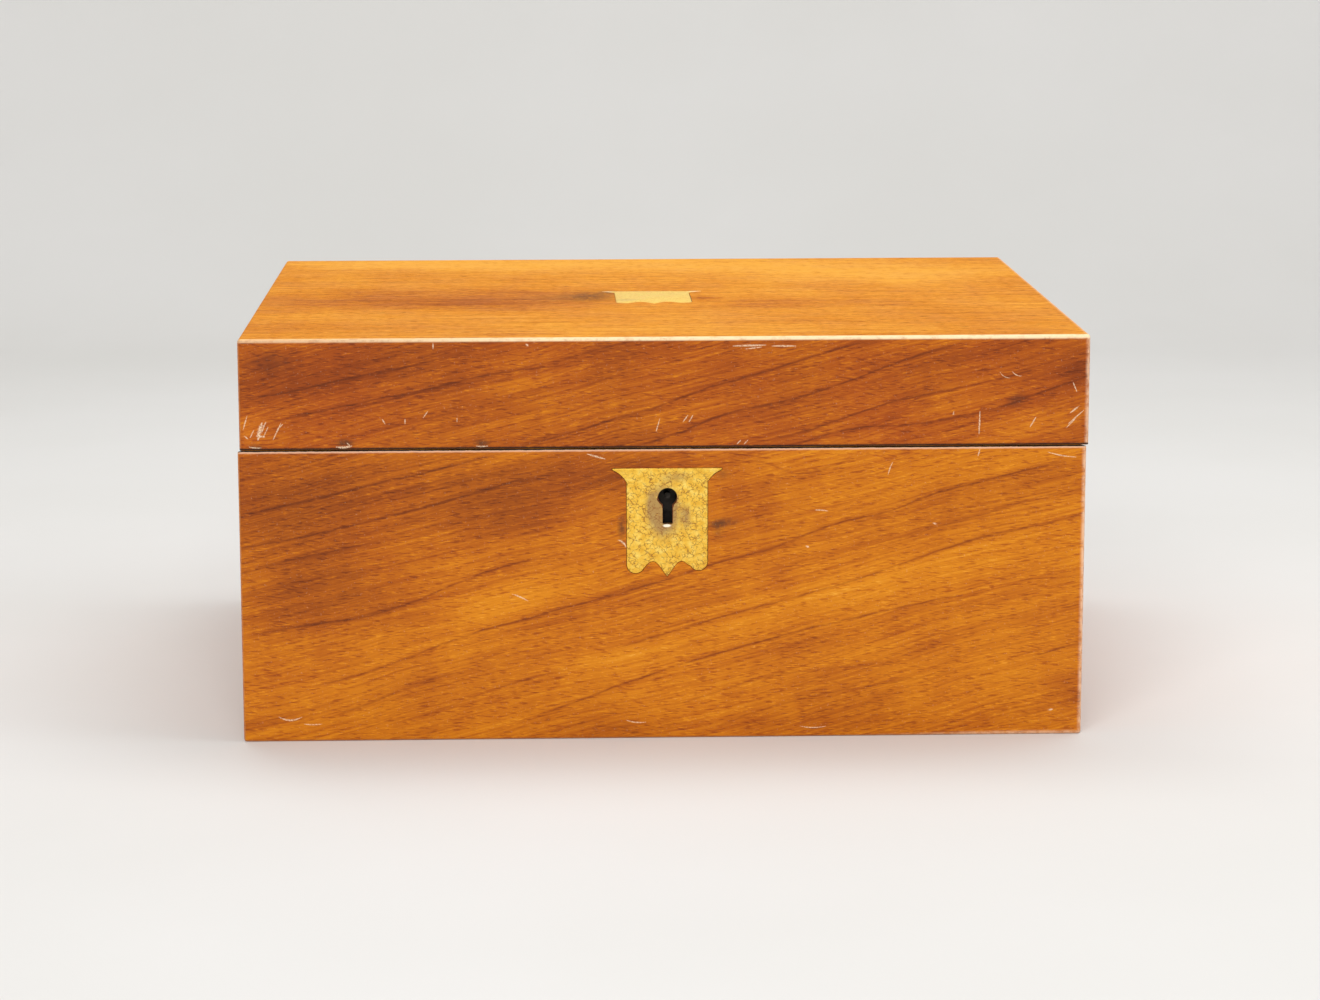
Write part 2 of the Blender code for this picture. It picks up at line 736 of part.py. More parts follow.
def staple_slots():
    shapes = []
    reach_x = STAPLE_THICKNESS / 2 + STAPLE_SLOT_CLEARANCE
    reach_s = STAPLE_BREADTH / 2 + STAPLE_SLOT_CLEARANCE
    for side in (-1, 1):
        x = LOCK_X + side * STAPLE_PLACE_X
        slot = block(
            (x - reach_x, staple_s() - reach_s, -OVERRUN),
            (x + reach_x, staple_s() + reach_s, STAPLE_REACH),
        )
        shapes.append(on_slope(slot, BASE))
    return shapes


def make_lock_case():
    """Folded case below its top plate, open towards the inside of the box."""
    case_top = seam_z(case_front_y(), BASE, RIM + SELVEDGE / 2)
    half_width = CASE_WIDTH / 2
    outline = [
        (case_front_y(), CASE_BOTTOM_HEIGHT),
        (case_back_y(), CASE_BOTTOM_HEIGHT),
        (case_back_y(), seam_z(case_back_y(), BASE, RIM + SELVEDGE / 2)),
        (case_front_y(), case_top),
    ]
    case = solid(prism(outline, LOCK_X - half_width, LOCK_X + half_width, along_x), "lock_case")
    inner_x = half_width - CASE_WALL
    inside = [
        (case_front_y() + CASE_WALL, CASE_BOTTOM_HEIGHT + CASE_WALL),
        (case_back_y() + OVERRUN, CASE_BOTTOM_HEIGHT + CASE_WALL),
        (case_back_y() + OVERRUN, FRONT_SEAM_HEIGHT + OVERRUN),
        (case_front_y() + CASE_WALL, FRONT_SEAM_HEIGHT + OVERRUN),
    ]
    cut(case, prism(inside, LOCK_X - inner_x, LOCK_X + inner_x, along_x))
    join(case, on_slope(selvedge_block(0.0, BASE, SELVEDGE_WIDTH), BASE))
    cut(case, keyhole_cutter(case_front_y(), case_front_y() + CASE_WALL / 2))
    cut(case, *staple_slots())
    return case


def lock_pocket():
    """Room in the front board for the case and its cover."""
    half_width = CASE_WIDTH / 2 + GLUE_LINE
    front = case_front_y() - GLUE_LINE
    outline = [
        (front, CASE_BOTTOM_HEIGHT - GLUE_LINE),
        (-INNER_Y + OVERRUN, CASE_BOTTOM_HEIGHT - GLUE_LINE),
        (-INNER_Y + OVERRUN, FRONT_SEAM_HEIGHT + OVERRUN),
        (front, FRONT_SEAM_HEIGHT + OVERRUN),
    ]
    return prism(outline, LOCK_X - half_width, LOCK_X + half_width, along_x)


def make_lock_cover():
    """Plate that closes the case, with the pin that a piped key turns on."""
    half_width = CASE_WIDTH / 2
    top = seam_z(-INNER_Y, BASE, RIM + SELVEDGE + GLUE_LINE)
    cover = solid(
        block(
            (LOCK_X - half_width, -INNER_Y - COVER_PLATE, CASE_BOTTOM_HEIGHT),
            (LOCK_X + half_width, -INNER_Y, top),
        ),
        "lock_cover_plate",
    )
    outline = circle((LOCK_X, KEYHOLE_HEIGHT), DRILL_PIN_RADIUS, BARREL_SIDES)
    join(cover, prism(outline, case_front_y() + 2 * CASE_WALL, -INNER_Y - COVER_PLATE / 2, along_y))
    return cover


def make_lock_bolt():
    """Bar with two bent fingers that slide into the staples' eyes."""
    eye = slope_frame(BASE) @ Vector((0, staple_s(), STAPLE_EYE_DEPTH))
    finger_low = eye.z - BOLT_FINGER_HEIGHT / 2
    finger_high = eye.z + BOLT_FINGER_HEIGHT / 2
    bar_high = (slope_frame(BASE) @ Vector((0, staple_s(), STAPLE_REACH))).z - BOLT_BAR_CLEARANCE
    bar_low = bar_high - BOLT_BAR
    lead = STAPLE_THICKNESS / 2 + BOLT_REST_CLEARANCE
    left = LOCK_X - STAPLE_PLACE_X - lead - BOLT_FINGER_LENGTH - BOLT_POST
    right = LOCK_X + STAPLE_PLACE_X - lead - BOLT_FINGER_LENGTH
    thin = BOLT_THICKNESS / 2
    bolt = solid(
        block((left, eye.y - thin, bar_low), (right, eye.y + thin, bar_high)), "lock_bolt"
    )
    for side in (-1, 1):
        tip = LOCK_X + side * STAPLE_PLACE_X - lead
        bend = tip - BOLT_FINGER_LENGTH
        post = block(
            (bend - BOLT_POST, eye.y - BOLT_FINGER / 2, bar_high - BOLT_FINGER),
            (bend, eye.y + BOLT_FINGER / 2, finger_high),
        )
        finger = block(
            (bend - BOLT_POST / 2, eye.y - BOLT_FINGER / 2, finger_low),
            (tip, eye.y + BOLT_FINGER / 2, finger_high),
        )
        join(bolt, post, finger)
    return bolt, Vector((left, eye.y, bar_low))


def make_link_plate():
    """Plate in the lid's rim with two staples that drop into the lock."""
    plate = solid(selvedge_block(0.0, LID, LINK_PLATE_WIDTH), "lock_link_plate")
    middle = staple_s()
    for side in (-1, 1):
        x = LOCK_X + side * STAPLE_PLACE_X
        thin = STAPLE_THICKNESS / 2
        staple = block(
            (x - thin, middle - STAPLE_BREADTH / 2, -STAPLE_REACH),
            (x + thin, middle + STAPLE_BREADTH / 2, RIM + SELVEDGE / 2),
        )
        eye = block(
            (x - thin - OVERRUN, middle - STAPLE_EYE_BREADTH / 2, -STAPLE_EYE_DEPTH - STAPLE_EYE_LENGTH / 2),
            (x + thin + OVERRUN, middle + STAPLE_EYE_BREADTH / 2, -STAPLE_EYE_DEPTH + STAPLE_EYE_LENGTH / 2),
        )
        join(plate, staple)
        cut(plate, eye)
    plate.data.transform(slope_frame(LID))
    face_out(plate)
    return plate


# Pen section
def make_divider(side, name):
    """Upright between an inkwell's place and the pen tray, with a step that carries the tray."""
    well_side = INNER_X - WELL_LENGTH
    tray_side = well_side - DIVIDER
    foot = WELL_FLOOR + GLUE_LINE
    step_top = TRAY_TOP_HEIGHT - TRAY_THICKNESS - GLUE_LINE
    front = -INNER_Y + GLUE_LINE
    back = PEN_RAIL_FRONT - GLUE_LINE
    top = seam_z(back, BASE, RIM + DIVIDER_SUNK)
    outline = [
        (tray_side - TRAY_LEDGE, foot),
        (well_side, foot),
        (well_side, top),
        (tray_side, top),
        (tray_side, step_top),
        (tray_side - TRAY_LEDGE, step_top),
    ]
    return solid(prism([(side * u, v) for u, v in outline], front, back, along_y), name)


def make_tray():
    """Block with a round trough for the pens."""
    half_length = INNER_X - WELL_LENGTH - DIVIDER - GLUE_LINE
    front = -INNER_Y + GLUE_LINE
    back = PEN_RAIL_FRONT - GLUE_LINE
    low = TRAY_TOP_HEIGHT - TRAY_THICKNESS
    tray = solid(block((-half_length, front, low), (half_length, back, TRAY_TOP_HEIGHT)), "pen_tray")
    centre = ((front + back) / 2, TRAY_TOP_HEIGHT - TROUGH_DEPTH + TROUGH_RADIUS)
    trough_half = half_length - TRAY_END_WALL
    cut(tray, prism(circle(centre, TROUGH_RADIUS, TROUGH_SIDES), -trough_half, trough_half, along_x))
    return tray


def square_ring(centre, half, corner, z):
    """Ring of points round a square with rounded corners."""
    points = []
    per_corner = BOTTLE_SIDES // 4 - 1
    for turn, (sx, sy) in enumerate(((1, 1), (-1, 1), (-1, -1), (1, -1))):
        middle = (centre[0] + sx * (half - corner), centre[1] + sy * (half - corner))
        points += arc(middle, corner, 90 * turn, 90 * turn + 90, per_corner)
    return [(x, y, z) for x, y in points]


def round_ring(centre, radius, z):
    """Ring of points round a circle, matched corner by corner to the square ring."""
    points = []
    per_corner = BOTTLE_SIDES // 4
    for turn in range(4):
        for step in range(per_corner):
            angle = math.radians(90 * turn + 90 * (step + 0.5) / per_corner)
            points.append((centre[0] + radius * math.cos(angle), centre[1] + radius * math.sin(angle), z))
    return points


def inkwell_centre(side):
    return (side * (INNER_X - WELL_LENGTH / 2), (-INNER_Y + PEN_RAIL_FRONT) / 2)


def make_inkwell(side, name):
    """Moulded square bottle with a round neck, open at the mouth."""
    centre = inkwell_centre(side)
    foot = WELL_FLOOR + GLUE_LINE
    half = BOTTLE_SIDE / 2
    inner = half - BOTTLE_WALL
    inner_corner = BOTTLE_CORNER - BOTTLE_WALL / 2
    shoulder = foot + BOTTLE_BODY_HEIGHT
    neck = shoulder + SHOULDER_HEIGHT
    lip = neck + NECK_HEIGHT
    levels = [
        square_ring(centre, half - BOTTLE_WALL / 4, BOTTLE_CORNER, foot),
        square_ring(centre, half, BOTTLE_CORNER, foot + BOTTLE_WALL / 4),
        square_ring(centre, half, BOTTLE_CORNER, shoulder),
        round_ring(centre, NECK_RADIUS, neck),
        round_ring(centre, NECK_RADIUS, lip),
        round_ring(centre, MOUTH_RADIUS, lip),
        round_ring(centre, MOUTH_RADIUS, neck),
        square_ring(centre, inner, inner_corner, shoulder - BOTTLE_WALL / 2),
        square_ring(centre, inner, inner_corner, foot + BOTTLE_WALL),
    ]
    return solid(rings(levels), name), lip


def make_cap(side, name, lip):
    """Knurled brass cap over the bottle's neck, slightly domed."""
    x, y = inkwell_centre(side)
    skirt = lip - NECK_HEIGHT + CAP_SKIRT_LIFT
    bore = NECK_RADIUS + GLUE_LINE

    def ring(radius, z, knurl=0.0):
        points = circle((x, y), radius, CAP_SIDES)
        if knurl:
            shrink = (radius - knurl) / radius
            points = [
                (x + (u - x) * shrink, y + (v - y) * shrink) if i % 2 else (u, v)
                for i, (u, v) in enumerate(points)
            ]
        return [(u, v, z) for u, v in points]

    ceiling = lip + GLUE_LINE
    rim_top = ceiling + CAP_TOP_WALL
    levels = [
        ring(bore, ceiling),
        ring(bore, skirt),
        ring(CAP_RADIUS, skirt, CAP_KNURL),
        ring(CAP_RADIUS, rim_top, CAP_KNURL),
        ring(CAP_RADIUS - 2 * CAP_KNURL, rim_top + CAP_DOME / 2),
        ring(CAP_RADIUS / 2, rim_top + CAP_DOME),
    ]
    cap = solid(rings(levels), name)
    return cap, Vector((x, y, rim_top))


# Turn button
def button_centre():
    """Pivot in the lid's front rim, in X and S."""
    return (BUTTON_X, slope_s(-INNER_Y, LID, RIM) + BUTTON_INSET)


def make_button():
    """Drop-shaped plate that lies along the rim until it is turned over the flap."""
    x, s = button_centre()
    outline = arc((x, s), BUTTON_RADIUS, 90, 270, SWEEP_STEPS)
    reach = x + BUTTON_REACH - BUTTON_TIP_HALF
    outline += arc((reach, s), BUTTON_TIP_HALF, -90, 90, SWEEP_STEPS // 2)
    low = RIM + BUTTON_SUNK
    plate = prism(outline, low, low + BUTTON_THICKNESS, along_z)
    return solid(on_slope(plate, LID), "flap_turn_button")


def button_sweep():
    """Room that the button needs between lying along the rim and over the flap."""
    x, s = button_centre()
    near = BUTTON_RADIUS + GLUE_LINE
    reach = BUTTON_REACH + GLUE_LINE
    outline = arc((x, s), near, 90, 180, SWEEP_STEPS)
    outline += [(x - near, s - reach)]
    outline += arc((x, s), reach, -90, 0, SWEEP_STEPS)
    outline += [(x + reach, s + near)]
    low = RIM + BUTTON_SUNK + BUTTON_THICKNESS
    return on_slope(prism(outline, -OVERRUN, low + GLUE_LINE, along_z), LID)


# Assembly
for old in list(bpy.data.objects):
    bpy.data.objects.remove(old)

desk = make_pivot("desk_frame", (0, 0, 0))
lid = make_pivot("lid_pivot", (0, PIN_Y, PIN_Z), desk)


def make_base_carcass():
    boards = make_boards(BASE, desk, 0.0, 0.0, "base")
    veneers = make_veneers(BASE, 0.0, 0.0, "base")
    for side in (-1, 1):
        cut(boards["back"], *hinge_recess(BASE, side * HINGE_PLACE_X))
        cut(veneers["back"], *hinge_recess(BASE, side * HINGE_PLACE_X))
    cut(boards["front"], lock_pocket())
    cut(boards["front"], on_slope(selvedge_block(GLUE_LINE, BASE, SELVEDGE_WIDTH), BASE))
    cut(boards["front"], keyhole_cutter(-BOARD_Y, case_front_y()))
    cut(veneers["front"], escutcheon_shape(GLUE_LINE, -DEPTH / 2 - OVERRUN, -DEPTH / 2 + VENEER + OVERRUN))
    for board in boards.values():
        settle(board, "carcass", desk)
    for sheet in veneers.values():
        settle(sheet, "veneer", desk)
    reach_x = INNER_X - GLUE_LINE
    reach_y = INNER_Y - GLUE_LINE
    bottom = block((-reach_x, -reach_y, 0), (reach_x, reach_y, BOTTOM_BOARD))
    settle(solid(bottom, "base_bottom_board"), "carcass", desk)
    plate = solid(escutcheon_shape(0.0, -DEPTH / 2, -DEPTH / 2 + VENEER), "escutcheon")
    cut(plate, keyhole_cutter(-DEPTH / 2, -DEPTH / 2 + VENEER))
    settle(plate, "brass", desk)


def make_lid_carcass():
    under_top = HEIGHT - VENEER - GLUE_LINE
    boards = make_boards(LID, lid, LID_SHIFT, under_top, "lid")
    veneers = make_veneers(LID, LID_SHIFT, under_top, "lid")
    for side in (-1, 1):
        cut(boards["back"], *hinge_recess(LID, side * HINGE_PLACE_X))
        cut(veneers["back"], *hinge_recess(LID, side * HINGE_PLACE_X))
    cut(boards["front"], on_slope(selvedge_block(GLUE_LINE, LID, LINK_PLATE_WIDTH), LID))
    cut(boards["front"], button_sweep())
    top_low = (-WIDTH / 2 + LID_SHIFT, -DEPTH / 2, HEIGHT - VENEER)
    top_high = (WIDTH / 2 + LID_SHIFT, DEPTH / 2, HEIGHT)
    top_sheet = block(top_low, top_high)
    upper_edges = [e for e in top_sheet.edges if all(v.co.z > under_top + VENEER for v in e.verts)]
    ease(top_sheet, upper_edges)
    top_veneer = solid(top_sheet, "lid_top_veneer")
    cut(top_veneer, cartouche_shape(GLUE_LINE, HEIGHT - VENEER - OVERRUN, HEIGHT + OVERRUN))
    for board in boards.values():
        settle(board, "carcass", lid)
    for sheet in veneers.values():
        settle(sheet, "veneer", lid)
    settle(top_veneer, "veneer", lid)
    reach_x = INNER_X - GLUE_LINE
    reach_y = INNER_Y - GLUE_LINE
    top = block(
        (-reach_x + LID_SHIFT, -reach_y, under_top - TOP_BOARD), (reach_x + LID_SHIFT, reach_y, under_top)
    )
    settle(solid(top, "lid_top_board"), "carcass", lid)
    cartouche = solid(cartouche_shape(0.0, HEIGHT - VENEER, HEIGHT), "top_cartouche")
    settle(cartouche, "brass", lid)


def make_main_hinges():
    outer, middle = knuckle_spans(HINGE_LENGTH, HINGE_MIDDLE_KNUCKLE)
    for side, hand in ((-1, "left"), (1, "right")):
        x = side * HINGE_PLACE_X
        base_leaf = make_hinge_leaf(f"{hand}_hinge_base_leaf", BASE, x, outer, middle)
        lid_leaf = make_hinge_leaf(f"{hand}_hinge_lid_leaf", LID, x, middle, outer)
        pin = barrel(0, 0, HINGE_PIN_RADIUS, x - HINGE_LENGTH / 2, x + HINGE_LENGTH / 2)
        pin = solid(on_slope(pin, BASE), f"{hand}_hinge_pin")
        settle(base_leaf, "brass", desk, METAL_SMOOTH_DEGREES)
        settle(lid_leaf, "brass", lid, METAL_SMOOTH_DEGREES)
        settle(pin, "brass", desk, METAL_SMOOTH_DEGREES)


def make_ledges(half, shift, pivot):
    """Strips under the flap's sides, joined by one under its free edge in the lid."""
    low = FLAP_UNDER + GLUE_LINE
    high = low + LEDGE_DEPTH
    start = hinge_rail_span(half)[1] + GLUE_LINE
    outer_x = INNER_X - GLUE_LINE
    inner_x = outer_x - LEDGE_WIDTH
    if half == BASE:
        end = slope_s(PEN_RAIL_BACK + GLUE_LINE, BASE, high)
        for side, hand in ((-1, "left"), (1, "right")):
            xs = sorted((side * inner_x, side * outer_x))
            ledge = block((xs[0], start, low), (xs[1], end, high))
            settle(solid(on_slope(ledge, half, shift), f"base_{hand}_ledge"), "carcass", pivot)
        return
    end = slope_s(-INNER_Y + GLUE_LINE, LID, low)
    outline = [
        (-outer_x, start),
        (-inner_x, start),
        (-inner_x, end - LEDGE_WIDTH),
        (inner_x, end - LEDGE_WIDTH),
        (inner_x, start),
        (outer_x, start),
        (outer_x, end),
        (-outer_x, end),
    ]
    ledge = on_slope(prism(outline, low, high, along_z), half, shift)
    settle(solid(ledge, "lid_flap_ledge"), "carcass", pivot)


def make_flap_set(half, shift, fixed_pivot):
    word = "upper" if half == BASE else "lower"
    rail_name = "base_hinge_rail" if half == BASE else "lid_hinge_rail"
    settle(make_hinge_rail(half, shift, rail_name), "carcass", fixed_pivot)
    make_ledges(half, shift, fixed_pivot)
    pin_place = slope_frame(half) @ Vector((0, flap_pin_s(half), FLAP_PIN_DEPTH))
    flap_pivot = make_pivot(f"{word}_flap_pivot", pin_place, fixed_pivot)
    flap = make_flap(half, shift, f"{word}_flap")
    if half == LID:
        cut(flap, button_sweep())
    settle(flap, "carcass", flap_pivot)
    settle(make_leather(half, shift, f"{word}_writing_leather"), "leather", flap_pivot)
    settle(make_tab(half, shift, f"{word}_flap_tab"), "ribbon", flap_pivot)
    for side in (-1, 1):
        x = side * FLAP_HINGE_PLACE_X
        fixed = make_flap_leaf(flap_piece(half, side, True), half, x, True)
        moving = make_flap_leaf(flap_piece(half, side, False), half, x, False)
        settle(fixed, "brass", fixed_pivot, METAL_SMOOTH_DEGREES)
        settle(moving, "brass", flap_pivot, METAL_SMOOTH_DEGREES)


def make_pen_section():
    reach_x = INNER_X - GLUE_LINE
    front = -INNER_Y + GLUE_LINE
    floor = block((-reach_x, front, PEN_FLOOR_HEIGHT), (reach_x, PEN_RAIL_BACK, WELL_FLOOR))
    settle(solid(floor, "pen_section_floor"), "carcass", desk)
    rail = wall_board(
        BASE, (-reach_x, PEN_RAIL_FRONT), (reach_x, PEN_RAIL_BACK), WELL_FLOOR + GLUE_LINE, RIM
    )
    settle(solid(rail, "pen_rail"), "carcass", desk)
    settle(make_tray(), "carcass", desk)
    for side, hand in ((-1, "left"), (1, "right")):
        settle(make_divider(side, f"{hand}_well_divider"), "carcass", desk)
        bottle, lip = make_inkwell(side, f"{hand}_inkwell")
        settle(bottle, "glass", desk, MOULDED_SMOOTH_DEGREES)
        cap, place = make_cap(side, f"{hand}_inkwell_cap", lip)
        settle(cap, "brass", make_pivot(f"{hand}_cap_pivot", place, desk), MOULDED_SMOOTH_DEGREES)


def make_lock():
    settle(make_lock_case(), "brass", desk)
    settle(make_lock_cover(), "brass", desk, METAL_SMOOTH_DEGREES)
    bolt, place = make_lock_bolt()
    settle(bolt, "steel", make_pivot("bolt_slide", place, desk))
    settle(make_link_plate(), "brass", lid)
    x, s = button_centre()
    place = slope_frame(LID) @ Vector((x, s, RIM))
    settle(make_button(), "brass", make_pivot("button_pivot", place, lid))


make_base_carcass()
make_lid_carcass()
make_main_hinges()
make_flap_set(BASE, 0.0, desk)
make_flap_set(LID, LID_SHIFT, lid)
make_pen_section()
make_lock()
bpy.context.view_layer.update()

print("slope of the split, degrees", round(math.degrees(SLOPE), 3))
for pivot_name, pivot_place in PIVOT_PLACES.items():
    print(pivot_name, [round(value, 6) for value in pivot_place])
print("button pivot and lid axis square to the slope", [round(v, 6) for v in OFF_SLOPE])
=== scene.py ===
# %% [markdown]
# # A lap desk in veneered wood
# This object is a writing slope: a box that splits along a sloping plane, so that
# its two halves lie open as one writing surface. The solid model, with its hinges
# and its lock, comes in as a fixed frame. This notebook dresses that frame: it
# replaces the plain veneer sheets by rounded, figured ones, and gives each board,
# hinge, bottle and strip of leather the finish of the real thing.

import json
import math

import bmesh
import bpy
from mathutils import Matrix, Vector


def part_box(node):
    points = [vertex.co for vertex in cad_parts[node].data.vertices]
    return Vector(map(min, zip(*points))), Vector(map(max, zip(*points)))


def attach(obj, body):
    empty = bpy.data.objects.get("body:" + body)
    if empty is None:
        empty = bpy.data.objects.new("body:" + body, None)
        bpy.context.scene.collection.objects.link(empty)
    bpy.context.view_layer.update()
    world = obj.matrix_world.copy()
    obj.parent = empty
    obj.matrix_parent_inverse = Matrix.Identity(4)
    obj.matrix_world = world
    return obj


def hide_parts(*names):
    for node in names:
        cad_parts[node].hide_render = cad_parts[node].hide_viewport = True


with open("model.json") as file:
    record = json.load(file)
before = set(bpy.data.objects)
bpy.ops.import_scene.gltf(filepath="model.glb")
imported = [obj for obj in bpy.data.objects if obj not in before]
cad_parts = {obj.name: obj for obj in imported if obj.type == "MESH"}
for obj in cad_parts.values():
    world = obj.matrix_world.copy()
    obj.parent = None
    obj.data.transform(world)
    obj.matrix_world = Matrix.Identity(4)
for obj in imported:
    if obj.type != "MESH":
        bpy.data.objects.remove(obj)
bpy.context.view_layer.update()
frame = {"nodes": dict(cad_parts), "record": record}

# %% [markdown]
# ## Sizes that come from the frame
# Each new piece has to sit exactly where the solid one sits, so its sizes are read
# from the frame, and only the small things that the solids leave out, such as the
# rounding of a worn edge, are new values here. The seam between the two halves is a
# plane. Two points on it, at the front and at the back, say where it runs.

# %% Measure the box
MM = 0.001
lid_low, lid_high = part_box("lid_top_veneer")
base_low, base_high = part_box("base_front_veneer")
back_low, back_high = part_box("base_back_veneer")
HEIGHT = lid_high.z
FRONT_Y = base_low.y
BACK_Y = back_high.y
VENEER = back_high.y - back_low.y
BASE_RIM_FRONT = Vector((0, FRONT_Y, base_high.z))
BASE_RIM_BACK = Vector((0, back_low.y, back_high.z))
UP_SLOPE = (BASE_RIM_FRONT - BASE_RIM_BACK).normalized()
OFF_SLOPE = Vector((0, UP_SLOPE.z, -UP_SLOPE.y))
LID_RIM_FRONT = Vector((0, FRONT_Y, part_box("lid_front_veneer")[0].z))
print("slope, degrees", round(math.degrees(math.asin(UP_SLOPE.z)), 3))
print("veneer, mm", round(VENEER / MM, 2))

# %% [markdown]
# ## The camera
# The camera comes before any finish, because several marks of wear are placed by
# where they show in the picture. Its place and turn were fitted to ten corners of
# the box. It looks slightly down and slightly to the right, through a long lens that
# keeps the front almost square.

# %% Make the camera
PICTURE = (1320, 1000)
LENS = 96.597
SENSOR = 36.0
CAMERA_PLACE = Vector((-0.0441, -1.3803, 0.3137))
CAMERA_DOWN = 0.17803
CAMERA_RIGHTWARDS = 0.03408
CAMERA_ROLL = -0.00169

ahead = Vector((
    math.sin(CAMERA_RIGHTWARDS) * math.cos(CAMERA_DOWN),
    math.cos(CAMERA_RIGHTWARDS) * math.cos(CAMERA_DOWN),
    -math.sin(CAMERA_DOWN),
))
level_right = Vector((math.cos(CAMERA_RIGHTWARDS), -math.sin(CAMERA_RIGHTWARDS), 0))
level_up = level_right.cross(ahead)
camera_right = math.cos(CAMERA_ROLL) * level_right + math.sin(CAMERA_ROLL) * level_up
camera_up = math.cos(CAMERA_ROLL) * level_up - math.sin(CAMERA_ROLL) * level_right

camera_data = bpy.data.cameras.new("picture_camera")
camera_data.lens = LENS
camera_data.sensor_width = SENSOR
camera = bpy.data.objects.new("picture_camera", camera_data)
bpy.context.scene.collection.objects.link(camera)
turn = Matrix((camera_right, camera_up, -ahead)).transposed().to_4x4()
camera.matrix_world = Matrix.Translation(CAMERA_PLACE) @ turn
bpy.context.scene.camera = camera


def seen_at(pixel, axis, value):
    """The point of the plane axis = value that shows at a pixel of the picture."""
    focal = LENS / SENSOR * PICTURE[0]
    across = (pixel[0] - PICTURE[0] / 2) / focal
    upwards = (PICTURE[1] / 2 - pixel[1]) / focal
    ray = ahead + across * camera_right + upwards * camera_up
    return CAMERA_PLACE + ray * ((value - CAMERA_PLACE[axis]) / ray[axis])


def on_front(pixel):
    """X and Z, in millimetres, of a pixel on the box's front."""
    point = seen_at(pixel, 1, FRONT_Y)
    return Vector((point.x / MM, point.z / MM, 0))


def on_top(pixel):
    """X and Y, in millimetres, of a pixel on the lid's top."""
    point = seen_at(pixel, 2, HEIGHT)
    return Vector((point.x / MM, point.y / MM, 0))


print("front left foot, mm", [round(value, 1) for value in on_front((243.9, 742.4))])

# %% [markdown]
# ## Small helpers for shader nodes
# A procedural finish is a graph of nodes. Written out one call at a time it would be
# long and hard to read, so a few helpers do the repeated work. Each takes plain
# numbers or the outputs of other nodes, and hands back an output, so that a finish
# reads almost like arithmetic.

# %% Node helpers
def feed(tree, socket, value):
    """Gives an input a plain value, or links another node's output to it."""
    if isinstance(value, bpy.types.NodeSocket):
        tree.links.new(value, socket)
    else:
        socket.default_value = value


def add(tree, kind, inputs=None, **settings):
    """Adds one node, sets its options and feeds its inputs."""
    made = tree.nodes.new("ShaderNode" + kind)
    for name, value in settings.items():
        setattr(made, name, value)
    for name, value in (inputs or {}).items():
        feed(tree, made.inputs[name], value)
    return made


def calc(tree, operation, *values):
    """Math on numbers or on outputs."""
    made = tree.nodes.new("ShaderNodeMath")
    made.operation = operation
    for place, value in enumerate(values):
        feed(tree, made.inputs[place], value)
    return made.outputs[0]


def vector_calc(tree, operation, *values, result="Vector", **named):
    """Math on vectors."""
    made = tree.nodes.new("ShaderNodeVectorMath")
    made.operation = operation
    for place, value in enumerate(values):
        feed(tree, made.inputs[place], value)
    for name, value in named.items():
        feed(tree, made.inputs[name], value)
    return made.outputs[result]


def total(tree, values):
    """Sum of several outputs."""
    result = values[0]
    for value in values[1:]:
        result = calc(tree, "ADD", result, value)
    return result


def spread(tree, value, low, high, to_low=0.0, to_high=1.0):
    """Maps a range softly onto another one, held at both ends."""
    made = add(tree, "MapRange", {
        "Value": value, "From Min": low, "From Max": high, "To Min": to_low, "To Max": to_high,
    }, interpolation_type="SMOOTHSTEP")
    return made.outputs["Result"]


def swing(tree, value, amount):
    """How far a value lies from 0.5, times an amount."""
    return calc(tree, "MULTIPLY", calc(tree, "SUBTRACT", value, 0.5), amount)


def noise(tree, position, scale, detail=2.0, roughness=0.5, seed=0.0):
    """Soft noise from 0 to 1, about 0.5. The seed moves it to another part of the pattern."""
    made = add(tree, "TexNoise", {
        "Vector": position, "W": seed, "Scale": scale, "Detail": detail, "Roughness": roughness,
    }, noise_dimensions="4D")
    return made.outputs["Fac"]


def mix_colour(tree, share, first, second, mode="MIX"):
    """Mixes two colours by a share from 0 to 1."""
    made = add(tree, "Mix", data_type="RGBA", blend_type=mode)
    colours = [socket for socket in made.inputs if socket.type == "RGBA"]
    feed(tree, made.inputs["Factor"], share)
    feed(tree, colours[0], first)
    feed(tree, colours[1], second)
    return next(socket for socket in made.outputs if socket.type == "RGBA")


def srgb(red, green, blue):
    """Linear colour from the 0 to 255 values that a picture shows."""
    def linear(value):
        share = value / 255
        return share / 12.92 if share <= 0.04045 else ((share + 0.055) / 1.055) ** 2.4
    return (linear(red), linear(green), linear(blue), 1.0)


def ramp(tree, value, *stops):
    """Colour ramp from (position, colour) stops."""
    made = add(tree, "ValToRGB", {"Fac": value})
    elements = made.color_ramp.elements
    for place, (position, colour) in enumerate(stops):
        element = elements[place] if place < 2 else elements.new(position)
        element.position = position
        element.color = colour
    return made.outputs["Color"]


def new_group(name, inputs, outputs):
    """Starts a node group with named sockets. Returns its tree, inputs and outputs."""
    tree = bpy.data.node_groups.new(name, "ShaderNodeTree")
    for label, value in inputs.items():
        kind = "NodeSocketVector" if isinstance(value, tuple) else "NodeSocketFloat"
        socket = tree.interface.new_socket(label, in_out="INPUT", socket_type=kind)
        socket.default_value = value
    for label in outputs:
        tree.interface.new_socket(label, in_out="OUTPUT", socket_type="NodeSocketFloat")
    start = tree.nodes.new("NodeGroupInput")
    end = tree.nodes.new("NodeGroupOutput")
    return tree, start.outputs, end.inputs


def place_group(tree, group, **inputs):
    """Places a group. Words of an input's name are joined by underscores."""
    made = tree.nodes.new("ShaderNodeGroup")
    made.node_tree = group
    for name, value in inputs.items():
        feed(tree, made.inputs[name.replace("_", " ").title()], value)
    return made.outputs


